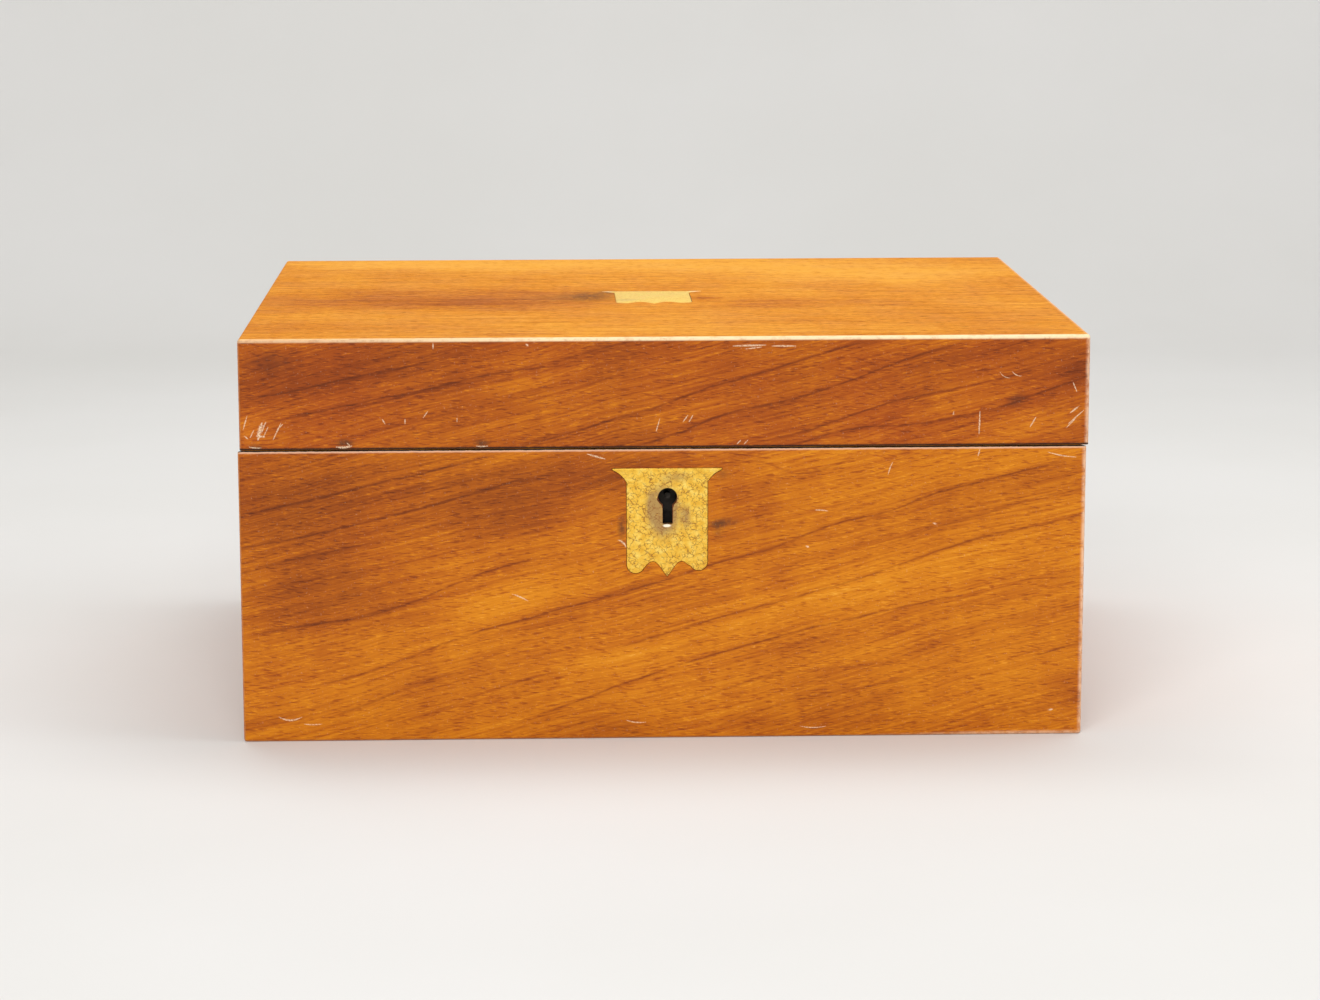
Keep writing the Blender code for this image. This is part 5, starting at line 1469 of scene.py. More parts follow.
CRUMB = 0.01 * MM
SHELL_SMOOTH = 35
for shell_piece in (base_shell, lid_shell):
    shape = bmesh.new()
    shape.from_mesh(shell_piece.data)
    bmesh.ops.dissolve_degenerate(shape, edges=shape.edges, dist=CRUMB)
    open_edges = sum(len(edge.link_faces) != 2 for edge in shape.edges)
    shape.to_mesh(shell_piece.data)
    shape.free()
    print(shell_piece.name, "open edges after the cuts", open_edges)
    shell_piece.data.shade_smooth()
    shell_piece.data.set_sharp_from_angle(angle=math.radians(SHELL_SMOOTH))
    report_size(shell_piece)
give_faces(base_shell, {"front": 0, "side": 1, "back": 2})
give_faces(lid_shell, {"front": 0, "side": 1, "back": 2, "top": 3})
for side in ("front", "back", "left", "right"):
    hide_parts(f"base_{side}_veneer")
    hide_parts(f"lid_{side}_veneer")
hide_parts("lid_top_veneer")

# %% [markdown]
# ## The wood of the carcass
# Under the veneer the box is plain mahogany, and inside it shows: on the rims, the
# writing flaps, the rails and the pen tray. Its grain is straight and its colour a
# quiet red brown, and it was only oiled, so it is duller than the outside. A board is
# seen from several sides, so the place across the grain mixes both of the board's
# short directions. That way no face shows the pattern drawn out into stripes.

# %% Mahogany finish
MAHOGANY = (
    (0.00, srgb(54, 22, 11)), (0.28, srgb(92, 42, 21)), (0.50, srgb(122, 60, 31)),
    (0.72, srgb(148, 80, 43)), (1.00, srgb(184, 114, 68)),
)
INK = srgb(14, 15, 30)
OLD_SMEAR = srgb(70, 36, 22)
PALE_RUB = srgb(198, 140, 96)


def board_finish(name, along, across, depth, seed, light=0.5, inked=0.0, lean=1.2):
    """Oiled mahogany. along is the grain's axis, and inked says how many ink spots it has."""
    material, tree, shader = new_material(name)
    plain = ruler(tree, along, across, depth)
    parts = add(tree, "SeparateXYZ", {"Vector": plain}).outputs
    skewed = calc(tree, "MULTIPLY_ADD", parts["Z"], 0.62, parts["Y"])
    position = add(tree, "CombineXYZ", {"X": parts["X"], "Y": skewed}).outputs[0]
    figure = place_group(
        tree, FIGURE, position=position, lean=math.radians(lean), breadth=8.0, wander=7.0, seed=seed
    )
    bands = swing(tree, figure["Bands"], 0.75)
    streaks = swing(tree, figure["Streaks"], 0.60)
    cloud = swing(tree, noise(tree, plain, 0.02, 3.0, 0.6, seed), 0.5)
    tone = calc(tree, "ADD", total(tree, [bands, streaks, cloud]), light)
    pores = place_group(
        tree, PORES, position=position, length=4.4, breadth=0.34, amount=0.42, seed=seed
    )["Dashes"]
    tone = calc(tree, "MULTIPLY_ADD", pores, -0.22, tone)
    colour = ramp(tree, tone, *MAHOGANY)
    smear = spread(tree, noise(tree, plain, 0.04, 4.0, 0.65, seed + 1.0), 0.48, 0.72)
    colour = mix_colour(tree, calc(tree, "MULTIPLY", smear, 0.35), colour, OLD_SMEAR)
    if inked:
        drops = noise(tree, plain, 0.11, 2.0, 0.4, seed + 8.0)
        spots = spread(tree, drops, 0.80 - inked * 0.1, 0.83 - inked * 0.1)
        colour = mix_colour(tree, calc(tree, "MULTIPLY", spots, 0.85), colour, INK)
    rubs = place_group(tree, RUBS, position=plain, amount=0.5, seed=seed)["Rubs"]
    colour = mix_colour(tree, calc(tree, "MULTIPLY", rubs, 0.22), colour, PALE_RUB)
    feed(tree, shader.inputs["Base Color"], colour)
    rough = spread(tree, noise(tree, plain, 0.08, 3.0, 0.6, seed), 0.3, 0.7, 0.44, 0.60)
    feed(tree, shader.inputs["Roughness"], calc(tree, "MULTIPLY_ADD", pores, 0.1, rough))
    shader.inputs["Specular IOR Level"].default_value = 0.28
    height = calc(tree, "MULTIPLY_ADD", pores, -0.8, calc(tree, "MULTIPLY", figure["Streaks"], 0.5))
    emboss(tree, shader, height, 0.3, 0.08 * MM)
    return material


def dress(material, *names):
    """Gives nodes of the frame their finish."""
    for name in names:
        for place in frame["nodes"][name].material_slots:
            place.material = material


# Name, axes and seed of each finish, its options and the nodes that get it.
BOARDS = (
    (("wall_mahogany", "X", "Z", "Y", 3.0), {},
     ("base_front_board", "base_back_board", "lid_front_board", "lid_back_board")),
    (("end_mahogany", "Y", "Z", "X", 5.0), {},
     ("base_left_board", "base_right_board", "lid_left_board", "lid_right_board")),
    (("rail_mahogany", "X", "Z", "Y", 9.0), {"light": 0.42},
     ("base_hinge_rail", "lid_hinge_rail", "pen_rail")),
    (("ledge_mahogany", "Y", "Z", "X", 12.0), {"light": 0.46},
     ("base_left_ledge", "base_right_ledge", "lid_flap_ledge")),
    (("divider_mahogany", "Y", "Z", "X", 15.0), {"light": 0.46, "inked": 0.6},
     ("left_well_divider", "right_well_divider")),
    (("floor_mahogany", "X", "Y", "Z", 18.0), {"light": 0.58, "lean": 2.5},
     ("base_bottom_board", "lid_top_board")),
    (("well_floor_mahogany", "X", "Y", "Z", 21.0), {"light": 0.40, "inked": 1.0}, ("pen_section_floor",)),
    (("tray_mahogany", "X", "Y", "Z", 24.0), {"light": 0.44, "inked": 0.9}, ("pen_tray",)),
    (("upper_flap_mahogany", "X", "Y", "Z", 27.0), {"light": 0.56, "lean": -1.5}, ("upper_flap",)),
    (("lower_flap_mahogany", "X", "Y", "Z", 30.0), {"light": 0.55, "lean": 2.0}, ("lower_flap",)),
)
for recipe, options, names in BOARDS:
    dress(board_finish(*recipe, **options), *names)
print("boards dressed", sum(len(names) for recipe, options, names in BOARDS))

# %% [markdown]
# ## The metal of hinges and lock
# Hinges, pins and plates are cast or rolled brass. Handling keeps the proud parts
# bright, and the rest turns brown. The lock's bolt and its case are iron with a trace
# of rust. All of them are one recipe with other colours: a slow noise for the
# tarnish, fine rubs that follow no direction, and specks.

# %% Brass and iron finishes
def metal_finish(name, bright, dull, speck, seed, rough=(0.28, 0.48), tarnish=0.5):
    """Handled metal. tarnish says how much of it is dull."""
    material, tree, shader = new_material(name)
    position = ruler(tree, "X", "Y", "Z")
    slow = noise(tree, position, 0.16, 5.0, 0.65, seed)
    dulled = spread(tree, slow, 0.68 - tarnish * 0.4, 0.82 - tarnish * 0.3)
    colour = mix_colour(tree, dulled, bright, dull)
    drawn = noise(tree, vector_calc(tree, "MULTIPLY", position, (0.25, 5.0, 5.0)), 1.0, 2.0, 0.6, seed)
    colour = mix_colour(tree, spread(tree, drawn, 0.5, 0.75, 0.0, 0.3), colour, dull)
    spots = spread(tree, noise(tree, position, 1.3, 3.0, 0.7, seed + 2.0), 0.705, 0.78)
    colour = mix_colour(tree, calc(tree, "MULTIPLY", spots, 0.7), colour, speck)
    rubs = place_group(tree, RUBS, position=position, amount=1.2, seed=seed)["Rubs"]
    colour = mix_colour(tree, calc(tree, "MULTIPLY", rubs, 0.25), colour, bright)
    feed(tree, shader.inputs["Base Color"], colour)
    feed(tree, shader.inputs["Metallic"], calc(tree, "MULTIPLY_ADD", spots, -0.5, 0.92))
    gloss = calc(tree, "MULTIPLY_ADD", dulled, rough[1] - rough[0], rough[0])
    feed(tree, shader.inputs["Roughness"], calc(tree, "MULTIPLY_ADD", spots, 0.25, gloss))
    height = calc(tree, "MULTIPLY_ADD", spots, -1.0, calc(tree, "MULTIPLY", drawn, 0.4))
    emboss(tree, shader, height, 0.3, 0.05 * MM)
    return material


TARNISH = srgb(138, 96, 42)
hinge_brass = metal_finish("hinge_brass", srgb(226, 182, 96), TARNISH, srgb(70, 46, 20), 4.0)
lock_brass = metal_finish("lock_brass", srgb(220, 176, 92), TARNISH, srgb(64, 42, 20), 8.0, tarnish=0.7)
pin_brass = metal_finish("pin_brass", srgb(214, 172, 96), srgb(120, 84, 40), srgb(60, 40, 20), 12.0)
bolt_steel = metal_finish(
    "bolt_steel", srgb(178, 176, 172), srgb(96, 88, 80), srgb(84, 44, 22), 16.0, rough=(0.25, 0.42)
)
case_iron = metal_finish(
    "case_iron", srgb(58, 54, 50), srgb(30, 27, 25), srgb(66, 34, 18), 20.0, rough=(0.45, 0.65)
)
main_leaves = [f"{hand}_hinge_{half}_leaf" for hand in ("left", "right") for half in ("base", "lid")]
flap_leaves = [f"{word}_flap_{hand}_{kind}_leaf" for word in ("upper", "lower")
               for hand in ("left", "right") for kind in ("fixed", "moving")]
dress(hinge_brass, *main_leaves, *flap_leaves)
dress(pin_brass, "left_hinge_pin", "right_hinge_pin")
dress(lock_brass, "lock_case", "lock_link_plate", "flap_turn_button")
dress(case_iron, "lock_cover_plate")
dress(bolt_steel, "lock_bolt")
print("metal finishes", [
    metal.name for metal in (hinge_brass, lock_brass, pin_brass, bolt_steel, case_iron)
])

# %% [markdown]
# ## The slope's own directions
# The flaps, leathers and hinges all lie along the sloping seam, so it is easiest to
# draw them in its own directions: X across, S up the slope from the hinge pins and D
# into one half. A matrix carries such a drawing to its place, and its inverse
# reads sizes from the frame.

# %% Slope frame
pin_low, pin_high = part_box("left_hinge_pin")
HINGE_AXIS = Vector((0, (pin_low.y + pin_high.y) / 2, (pin_low.z + pin_high.z) / 2))
INTO_BASE = -1
INTO_LID = 1


def slope_frame(half):
    """Matrix from X, S and D of one half to the world."""
    matrix = Matrix((Vector((1, 0, 0)), UP_SLOPE, OFF_SLOPE * half)).transposed().to_4x4()
    matrix.translation = HINGE_AXIS
    return matrix


def slope_box(node, half):
    """Lowest and highest corner of a node in X, S and D."""
    back = slope_frame(half).inverted()
    places = [back @ vert.co for vert in frame["nodes"][node].data.vertices]
    low = Vector(min(place[i] for place in places) for i in range(3))
    high = Vector(max(place[i] for place in places) for i in range(3))
    return low, high


def lay_on_slope(shape, half):
    """Carries a drawing in X, S and D to its half, with its faces outwards."""
    bmesh.ops.transform(shape, matrix=slope_frame(half), verts=shape.verts)
    bmesh.ops.recalc_face_normals(shape, faces=shape.faces)
    return shape


skin_low, skin_high = slope_box("lower_writing_leather", INTO_LID)
print("lower leather, mm", [round(value / MM, 2) for value in skin_high - skin_low])

# %% [markdown]
# ## The writing leathers
# A skiver is thin split leather, glued into a shallow bed in each flap. A hot brass
# wheel has pressed gold leaf into it: three plain lines, with a row of small lozenges
# between the inner two. The border is worked out from the distance to the leather's
# edge, and the gold is broken where arms have rubbed it. The grain is a pattern of
# small rounded cells, which catch the light through a bump node.

# %% Leather finish
GOLD_LEAF = srgb(214, 170, 84)
AUBERGINE = srgb(50, 28, 46)
RUBBED_SKIN = srgb(104, 70, 76)
DARK_SKIN = srgb(28, 15, 26)
# Distance from the leather's edge and breadth of each line, and the row of lozenges, in millimetres.
GOLD_LINES = ((5.8, 0.8), (7.1, 0.3), (11.0, 0.3))
LOZENGE_ROW = 9.0
LOZENGE_STEP = 1.6


def slope_ruler(tree, low, high):
    """X and S in millimetres from the middle of a leather, with S along the slope."""
    place = ruler(tree, "X", "Y", "Z")
    from_axis = vector_calc(tree, "SUBTRACT", place, tuple(HINGE_AXIS / MM))
    along = vector_calc(tree, "DOT_PRODUCT", from_axis, tuple(UP_SLOPE), result="Value")
    across = add(tree, "SeparateXYZ", {"Vector": from_axis}).outputs["X"]
    middle = (low + high) / 2 / MM
    return (
        calc(tree, "SUBTRACT", across, middle.x), calc(tree, "SUBTRACT", along, middle.y),
    )


def gold_line(tree, distance, place, breadth):
    """1 on a line that lies at one distance from the edge."""
    away = calc(tree, "ABSOLUTE", calc(tree, "SUBTRACT", distance, place))
    return spread(tree, away, breadth * 0.5, breadth * 0.3)


def leather_finish(name, low, high, seed):
    """Tooled skiver for the flap whose leather has these corners."""
    material, tree, shader = new_material(name)
    across, along = slope_ruler(tree, low, high)
    half = (high - low) / 2 / MM
    from_side = calc(tree, "SUBTRACT", half.x, calc(tree, "ABSOLUTE", across))
    from_end = calc(tree, "SUBTRACT", half.y, calc(tree, "ABSOLUTE", along))
    edge = calc(tree, "MINIMUM", from_side, from_end)
    round_the_edge = calc(tree, "COMPARE", edge, from_side, 0.0001)
    run = add(tree, "Mix", {"Factor": round_the_edge, "A": across, "B": along}, data_type="FLOAT")
    wheel = calc(tree, "PINGPONG", run.outputs["Result"], LOZENGE_STEP)
    from_row = calc(tree, "ABSOLUTE", calc(tree, "SUBTRACT", edge, LOZENGE_ROW))
    roll = spread(tree, calc(tree, "ADD", wheel, from_row), 0.95, 0.70)
    lines = [gold_line(tree, edge, distance, breadth) for distance, breadth in GOLD_LINES]
    tooled = calc(tree, "MINIMUM", total(tree, lines + [roll]), 1.0)
    place = ruler(tree, "X", "Y", "Z")
    kept = spread(tree, noise(tree, place, 0.11, 5.0, 0.7, seed), 0.36, 0.52)
    gilt = calc(tree, "MULTIPLY", tooled, kept)

    cells = add(tree, "TexVoronoi", {"Vector": place, "Scale": 1.35, "Randomness": 1.0})
    pebble = spread(tree, cells.outputs["Distance"], 0.15, 0.65)
    worn = spread(tree, noise(tree, place, 0.02, 4.0, 0.6, seed + 2.0), 0.44, 0.68)
    fold = calc(tree, "MULTIPLY", worn, calc(tree, "SUBTRACT", 1.0, pebble))
    colour = mix_colour(tree, calc(tree, "MULTIPLY", pebble, 0.7), AUBERGINE, DARK_SKIN)
    colour = mix_colour(tree, calc(tree, "MULTIPLY", fold, 0.6), colour, RUBBED_SKIN)
    rubs = place_group(tree, RUBS, position=place, amount=1.1, seed=seed)["Rubs"]
    colour = mix_colour(tree, calc(tree, "MULTIPLY", rubs, 0.3), colour, RUBBED_SKIN)
    spots = spread(tree, noise(tree, place, 0.13, 2.0, 0.4, seed + 5.0), 0.755, 0.775)
    colour = mix_colour(tree, calc(tree, "MULTIPLY", spots, 0.8), colour, INK)
    colour = mix_colour(tree, gilt, colour, GOLD_LEAF)
    feed(tree, shader.inputs["Base Color"], colour)
    feed(tree, shader.inputs["Metallic"], calc(tree, "MULTIPLY", gilt, 0.8))
    skin = spread(tree, pebble, 0.0, 1.0, 0.42, 0.62)
    feed(tree, shader.inputs["Roughness"], calc(tree, "MULTIPLY_ADD", gilt, -0.12, skin))
    shader.inputs["Specular IOR Level"].default_value = 0.35
    height = calc(tree, "MULTIPLY_ADD", tooled, -1.6, calc(tree, "MULTIPLY", pebble, -0.5))
    emboss(tree, shader, height, 0.55, 0.12 * MM)
    return material


# %% Cut and lay the leathers
SKIN_CORNER = 4.0 * MM
SKIN_EASE = 0.22 * MM


def round_corners(shape, radius, steps):
    """Rounds the upright corners of a block drawn in X, S and D."""
    def stands(edge):
        first, last = (vert.co for vert in edge.verts)
        return abs((first - last).normalized().z) > 0.99
    round_edges(shape, [edge for edge in shape.edges if stands(edge)], radius, steps)


def lay_leather(word, half):
    """One skiver: a thin block with round corners and a soft upper edge."""
    node = f"{word}_writing_leather"
    low, high = slope_box(node, half)
    shape = box_shape(low, high)
    round_corners(shape, SKIN_CORNER, 6)
    upper = [face for face in shape.faces if face.normal.z < -0.99]
    round_edges(shape, [edge for face in upper for edge in face.edges], SKIN_EASE, 3)
    lay_on_slope(shape, half)
    skin = finished_piece(
        shape, f"{word}_skiver", f"{word}_flap",
        [leather_finish(f"{word}_tooled_leather", low, high, 3.0 + half)], smooth=40,
    )
    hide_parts(node)
    report_size(skin)


FLAPS = (("upper", INTO_BASE), ("lower", INTO_LID))
for word, half in FLAPS:
    lay_leather(word, half)

# %% [markdown]
# ## The ribbon tabs
# A short silk ribbon on each flap's free edge serves to lift it. It is woven in a
# plain weave with a firmer edge on both sides, and its free end is cut in a fishtail
# so that it doesn't fray. The tab starts as a grid, its end is notched by pulling the
# middle of the last rows inwards, and solidify gives it its thickness.

# %% Silk ribbon finish
SILK = srgb(116, 26, 34)
FADED_SILK = srgb(146, 58, 56)
SILK_SHADE = srgb(74, 14, 22)
SILK_SELVEDGE = srgb(92, 18, 26)

def ribbon_finish(name, seed):
    """Faded silk with fine ribs across and a selvedge along both sides."""
    material, tree, shader = new_material(name)
    place = ruler(tree, "X", "Y", "Z")
    parts = add(tree, "SeparateXYZ", {"Vector": place}).outputs
    ribs = calc(tree, "PINGPONG", parts["Y"], 0.16)
    threads = calc(tree, "PINGPONG", parts["X"], 0.12)
    weave = calc(tree, "ADD", calc(tree, "MULTIPLY", ribs, 4.0), calc(tree, "MULTIPLY", threads, 3.0))
    from_middle = calc(tree, "ABSOLUTE", parts["X"])
    selvedge = spread(tree, from_middle, 5.0, 5.3)
    faded = spread(tree, noise(tree, place, 0.25, 3.0, 0.6, seed), 0.35, 0.65)
    colour = mix_colour(tree, faded, SILK, FADED_SILK)
    colour = mix_colour(tree, spread(tree, weave, 0.2, 0.9, 0.0, 0.45), colour, SILK_SHADE)
    colour = mix_colour(tree, calc(tree, "MULTIPLY", selvedge, 0.5), colour, SILK_SELVEDGE)
    feed(tree, shader.inputs["Base Color"], colour)
    feed(tree, shader.inputs["Roughness"], spread(tree, weave, 0.0, 1.0, 0.42, 0.62))
    shader.inputs["Sheen Weight"].default_value = 0.35
    shader.inputs["Sheen Roughness"].default_value = 0.4
    emboss(tree, shader, weave, 0.5, 0.06 * MM)
    return material


# %% Lay the tabs
FISHTAIL = 2.6 * MM
RIBBON_STEPS = 16


def lay_tab(word, half):
    """Ribbon on the free edge of one flap, with its fishtail towards the hinges."""
    node = f"{word}_flap_tab"
    low, high = slope_box(node, half)
    size = high - low
    middle = (low + high) / 2
    shape = bmesh.new()
    bmesh.ops.create_grid(shape, x_segments=6, y_segments=RIBBON_STEPS, size=0.5)
    bmesh.ops.scale(shape, vec=(size.x, size.y, 1), verts=shape.verts)
    bmesh.ops.translate(shape, vec=(middle.x, middle.y, high.z), verts=shape.verts)
    for vert in shape.verts:
        share = (vert.co.y - low.y) / size.y
        from_middle = 1 - abs(vert.co.x - middle.x) / (size.x / 2)
        vert.co.y += FISHTAIL * from_middle * (1 - share) ** 3
    bmesh.ops.recalc_face_normals(shape, faces=shape.faces)
    if shape.faces[:][0].normal.z < 0:
        bmesh.ops.reverse_faces(shape, faces=shape.faces)
    bmesh.ops.solidify(shape, geom=list(shape.faces), thickness=size.z)
    bottom = min(vert.co.z for vert in shape.verts)
    bmesh.ops.translate(shape, vec=(0, 0, low.z - bottom), verts=shape.verts)
    lay_on_slope(shape, half)
    tab = finished_piece(
        shape, f"{word}_ribbon", f"{word}_flap", [ribbon_finish(f"{word}_silk", 2.0 + half)],
        smooth=40,
    )
    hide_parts(node)
    report_size(tab)


for word, half in FLAPS:
    lay_tab(word, half)

# %% [markdown]
# ## Glass inkwells
# The bottles are moulded clear glass, square so that they don't turn in their wells.
# Old ink has dried in a thin film low down inside, so the tint deepens towards the
# foot, and the outside has fine rubs from the well's walls.

# %% Glass finish
well_low, well_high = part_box("left_inkwell")
CLEAR_GLASS = srgb(226, 238, 230)
INK_FILM = srgb(64, 72, 120)


def glass_finish():
    """Slightly green glass, tinted by ink near the foot."""
    material, tree, shader = new_material("inkwell_glass")
    place = ruler(tree, "X", "Y", "Z")
    parts = add(tree, "SeparateXYZ", {"Vector": place}).outputs
    film = calc(tree, "MULTIPLY_ADD", noise(tree, place, 0.12, 4.0, 0.6), 9.0, parts["Z"])
    foot = well_low.z / MM
    inked = spread(tree, film, foot + 20.0, foot + 8.0)
    colour = mix_colour(tree, inked, CLEAR_GLASS, INK_FILM)
    feed(tree, shader.inputs["Base Color"], colour)
    rubs = place_group(tree, RUBS, position=place, amount=1.0)["Rubs"]
    feed(tree, shader.inputs["Roughness"], spread(tree, rubs, 0.0, 1.0, 0.03, 0.3))
    shader.inputs["Transmission Weight"].default_value = 1.0
    shader.inputs["IOR"].default_value = 1.5
    ripple = noise(tree, place, 0.15, 2.0, 0.5)
    emboss(tree, shader, ripple, 0.15, 0.3 * MM)
    return material


dress(glass_finish(), "left_inkwell", "right_inkwell")
print("inkwell, mm", [round(value / MM, 1) for value in well_high - well_low])

# %% [markdown]
# ## Turned brass caps
# Each cap was turned on a lathe: a low dome with two fine rings, a bead, a knurled
# band for the fingers and a plain skirt. Spinning the profile once round the cap's
# axis makes the whole shape, with its bore, and moving every second column of the
# band inwards cuts the knurling.

# %% Turn the caps
KNURLS = 56
KNURL_DEPTH = 0.42 * MM
BORE_RADIUS = 9.7 * MM
CEILING = 2.7 * MM
# Radius and drop from the top, in millimetres, from the crown to the skirt's foot.
CAP_PROFILE = (
    (0.0, 0.0), (3.6, 0.05), (4.2, 0.12), (4.5, 0.32), (4.8, 0.15), (7.4, 0.30), (8.9, 0.50), (9.3, 0.72),
    (9.7, 0.60), (10.6, 0.85), (11.5, 1.15), (11.9, 1.50), (11.5, 1.85), (11.5, 2.05), (12.2, 2.35),
    (12.2, 6.35), (11.6, 6.60), (11.6, 6.85), (12.0, 7.10), (12.0, 7.75), (11.7, 8.05),
)
BAND = (2.30, 6.40)
BORE_EASE = 0.2 * MM
BORE_EASE_RISE = 0.3 * MM
OUTSIDE_SHARE = 1.05
WELD = 1e-7


def turn_cap(side):
    """Spins one cap, knurls its band and stands it for the plain one."""
    node = f"{side}_inkwell_cap"
    low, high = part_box(node)
    middle = (low + high) / 2
    height = high.z - low.z
    steepness = height / (CAP_PROFILE[-1][1] * MM)
    profile = [(radius * MM, -drop * MM * steepness) for radius, drop in CAP_PROFILE]
    profile += [(BORE_RADIUS + BORE_EASE, -height), (BORE_RADIUS, -height + BORE_EASE_RISE),
                (BORE_RADIUS, -CEILING), (0.0, -CEILING)]
    shape = bmesh.new()
    line = [shape.verts.new((radius, 0, z)) for radius, z in profile]
    edges = [shape.edges.new(pair) for pair in zip(line, line[1:])]
    bmesh.ops.spin(
        shape, geom=line + edges, cent=(0, 0, 0), axis=(0, 0, 1), angle=math.tau, steps=2 * KNURLS,
        use_merge=True,
    )
    bmesh.ops.remove_doubles(shape, verts=shape.verts, dist=WELD)
    step = math.tau / (2 * KNURLS)
    for vert in shape.verts:
        in_band = BAND[0] * MM < -vert.co.z / steepness < BAND[1] * MM
        radius = vert.co.xy.length
        column = round(math.atan2(vert.co.y, vert.co.x) / step)
        if in_band and radius > BORE_RADIUS * OUTSIDE_SHARE and column % 2:
            vert.co.xy *= (radius - KNURL_DEPTH) / radius
    bmesh.ops.recalc_face_normals(shape, faces=shape.faces)
    bmesh.ops.translate(shape, vec=(middle.x, middle.y, high.z), verts=shape.verts)
    cap = finished_piece(shape, f"{side}_turned_cap", f"{side}_cap", [cap_brass], smooth=28)
    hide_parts(node)
    report_size(cap)


cap_brass = metal_finish("cap_brass", srgb(230, 188, 100), srgb(150, 106, 48), srgb(52, 40, 34), 30.0)
for side in ("left", "right"):
    turn_cap(side)

# %% [markdown]
# ## Screws
# Every hinge leaf and lock plate is held by countersunk brass screws with a straight
# slot. One head is made: a short disc with an eased rim, and a slot cut across it.
# Copies of it are turned by listed angles, because nobody lines slots up, and
# joined into one piece for each moving body.

# %% Make one screw head
HEAD_SEGMENTS = 24
HEAD_DEPTH = 0.6 * MM
HEAD_EASE = 0.08 * MM
HEAD_PROUD = 0.05 * MM
SLOT_SHARE = 0.24
SLOT_DEPTH_SHARE = 1.4


def screw_head(radius):
    """Mesh of one head, with its top at D = 0 and its body below, at D > 0."""
    shape = bmesh.new()
    bmesh.ops.create_circle(shape, cap_ends=True, segments=HEAD_SEGMENTS, radius=radius)
    made = bmesh.ops.extrude_face_region(shape, geom=list(shape.faces))
    moved = [item for item in made["geom"] if isinstance(item, bmesh.types.BMVert)]
    bmesh.ops.translate(shape, vec=(0, 0, HEAD_DEPTH), verts=moved)
    bmesh.ops.recalc_face_normals(shape, faces=shape.faces)
    upper = min(shape.faces, key=lambda face: face.calc_center_median().z)
    round_edges(shape, list(upper.edges), HEAD_EASE, 2)
    mesh = bpy.data.meshes.new("screw_head")
    shape.to_mesh(mesh)
    shape.free()
    head = bpy.data.objects.new("screw_head", mesh)
    bpy.context.scene.collection.objects.link(head)
    slot = SLOT_SHARE * radius
    blade_low = Vector((-2 * radius, -slot / 2, -radius))
    blade_high = Vector((2 * radius, slot / 2, slot * SLOT_DEPTH_SHARE))
    cut_out(head, box_shape(blade_low, blade_high))
    mesh = head.data
    bpy.data.objects.remove(head)
    return mesh


screw_brass = metal_finish("screw_brass", srgb(208, 164, 88), srgb(116, 80, 38), srgb(44, 30, 16), 40.0)
SCREW_TURNS = (12, 74, -38, 51, -9, 96, 27, -62, 140, 5, 63, -25)


def drive_screws(name, body, half, places):
    """Joined screw heads at (X, S, D, radius) places of one body."""
    shape = bmesh.new()
    for count, (x, s, d, radius) in enumerate(places):
        before = len(shape.verts)
        shape.from_mesh(screw_head(radius))
        shape.verts.ensure_lookup_table()
        fresh = shape.verts[before:]
        angle = math.radians(SCREW_TURNS[count % len(SCREW_TURNS)])
        bmesh.ops.rotate(shape, verts=fresh, cent=(0, 0, 0), matrix=Matrix.Rotation(angle, 3, "Z"))
        bmesh.ops.translate(shape, verts=fresh, vec=(x, s, d - HEAD_PROUD))
    bmesh.ops.transform(shape, matrix=slope_frame(half), verts=shape.verts)
    if half == INTO_LID:
        bmesh.ops.reverse_faces(shape, faces=shape.faces)
    screws = finished_piece(shape, name, body, [screw_brass], smooth=30)
    report_size(screws)


# %% Drive the screws
RIM_FACE = slope_box("lock_case", INTO_BASE)[0].z
HINGE_SCREW = 1.85 * MM
HINGE_SCREW_SPREAD = 12.6 * MM
HINGE_SCREW_BACK = 3.0 * MM
FLAP_SCREW = 1.35 * MM
FLAP_SCREW_SPREAD = 7.2 * MM
FLAP_SCREW_BACK = 2.1 * MM
PLATE_SCREW = 1.5 * MM
PLATE_SCREW_FROM_END = 2.6 * MM
BUTTON_ROUND = 2.7 * MM
BUTTON_SCREW = 1.6 * MM


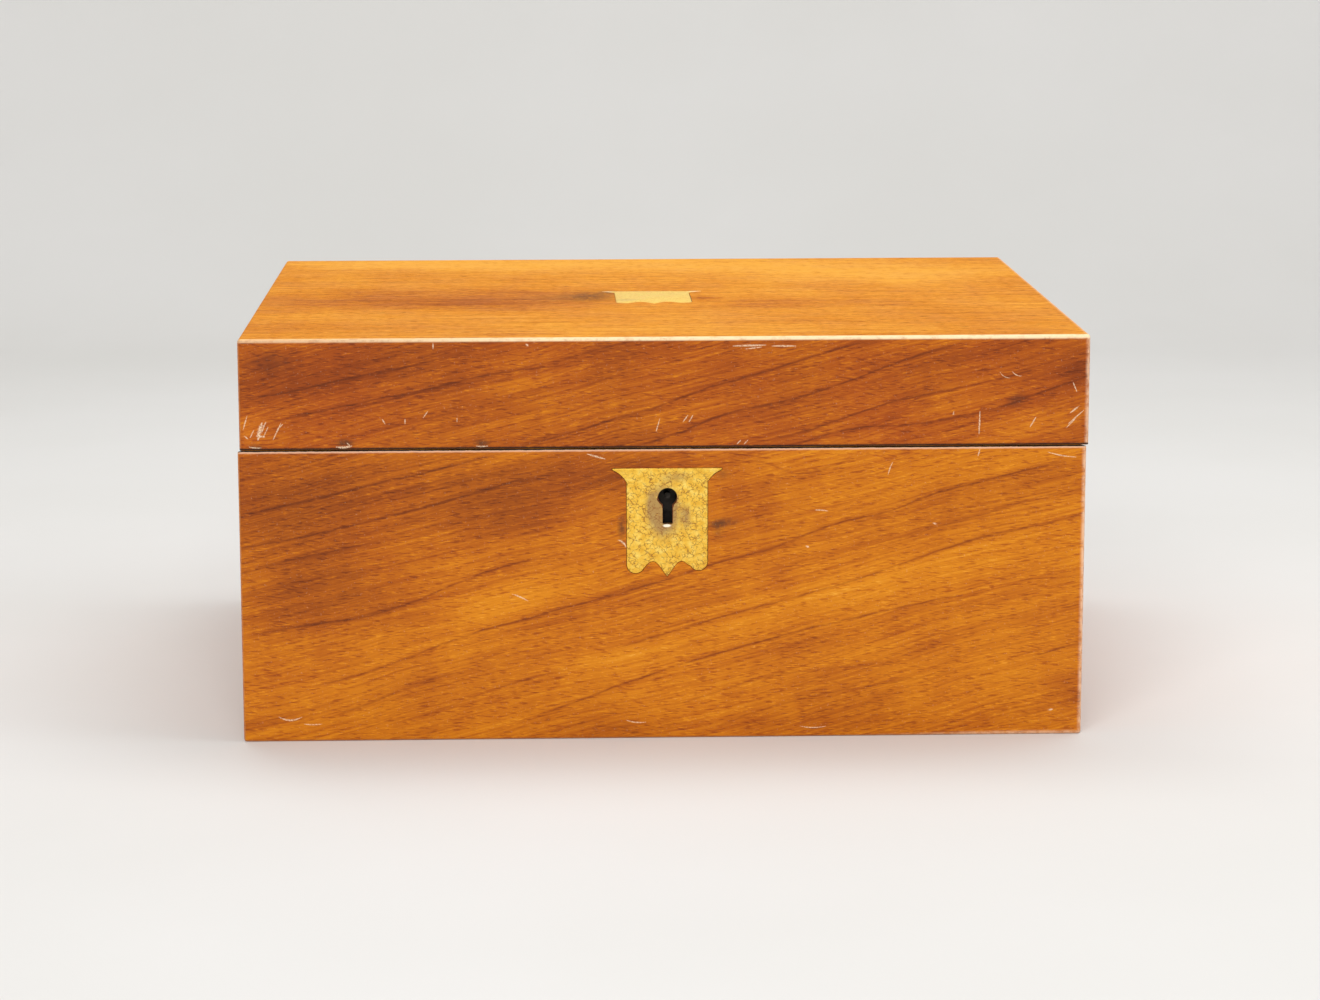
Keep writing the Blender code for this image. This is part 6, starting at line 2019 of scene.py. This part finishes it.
def hinge_screws(half, word):
    """Three places on each of the two main leaves of one half."""
    places = []
    for side in ("left", "right"):
        low, high = slope_box(f"{side}_hinge_{word}_leaf", half)
        for shift in (-HINGE_SCREW_SPREAD, 0, HINGE_SCREW_SPREAD):
            x = (low.x + high.x) / 2 + shift
            places.append((x, high.y - HINGE_SCREW_BACK, RIM_FACE, HINGE_SCREW))
    return places


def flap_screws(half, word, kind):
    """Two places on each of the two small leaves that one flap has of a kind."""
    places = []
    face = slope_box(f"{word}_flap", half)[0].z
    for side in ("left", "right"):
        low, high = slope_box(f"{word}_flap_{side}_{kind}_leaf", half)
        s = low.y + FLAP_SCREW_BACK if kind == "fixed" else high.y - FLAP_SCREW_BACK
        for shift in (-FLAP_SCREW_SPREAD, FLAP_SCREW_SPREAD):
            places.append(((low.x + high.x) / 2 + shift, s, face, FLAP_SCREW))
    return places


def plate_screws(node, half):
    """One place near each end of a lock plate. The link plate says how far up the slope."""
    low, high = slope_box(node, half)
    link_low, link_high = slope_box("lock_link_plate", INTO_LID)
    s = (link_low.y + link_high.y) / 2
    ends = (low.x + PLATE_SCREW_FROM_END, high.x - PLATE_SCREW_FROM_END)
    return [(x, s, RIM_FACE, PLATE_SCREW) for x in ends]


drive_screws("base_screws", "base", INTO_BASE,
             hinge_screws(INTO_BASE, "base") + flap_screws(INTO_BASE, "upper", "fixed")
             + plate_screws("lock_case", INTO_BASE))
drive_screws("lid_screws", "lid", INTO_LID,
             hinge_screws(INTO_LID, "lid") + flap_screws(INTO_LID, "lower", "fixed")
             + plate_screws("lock_link_plate", INTO_LID))
drive_screws("upper_flap_screws", "upper_flap", INTO_BASE, flap_screws(INTO_BASE, "upper", "moving"))
drive_screws("lower_flap_screws", "lower_flap", INTO_LID, flap_screws(INTO_LID, "lower", "moving"))
button_low, button_high = slope_box("flap_turn_button", INTO_LID)
drive_screws("button_screw", "turn_button", INTO_LID, [
    (button_low.x + BUTTON_ROUND, (button_low.y + button_high.y) / 2, button_low.z, BUTTON_SCREW),
])
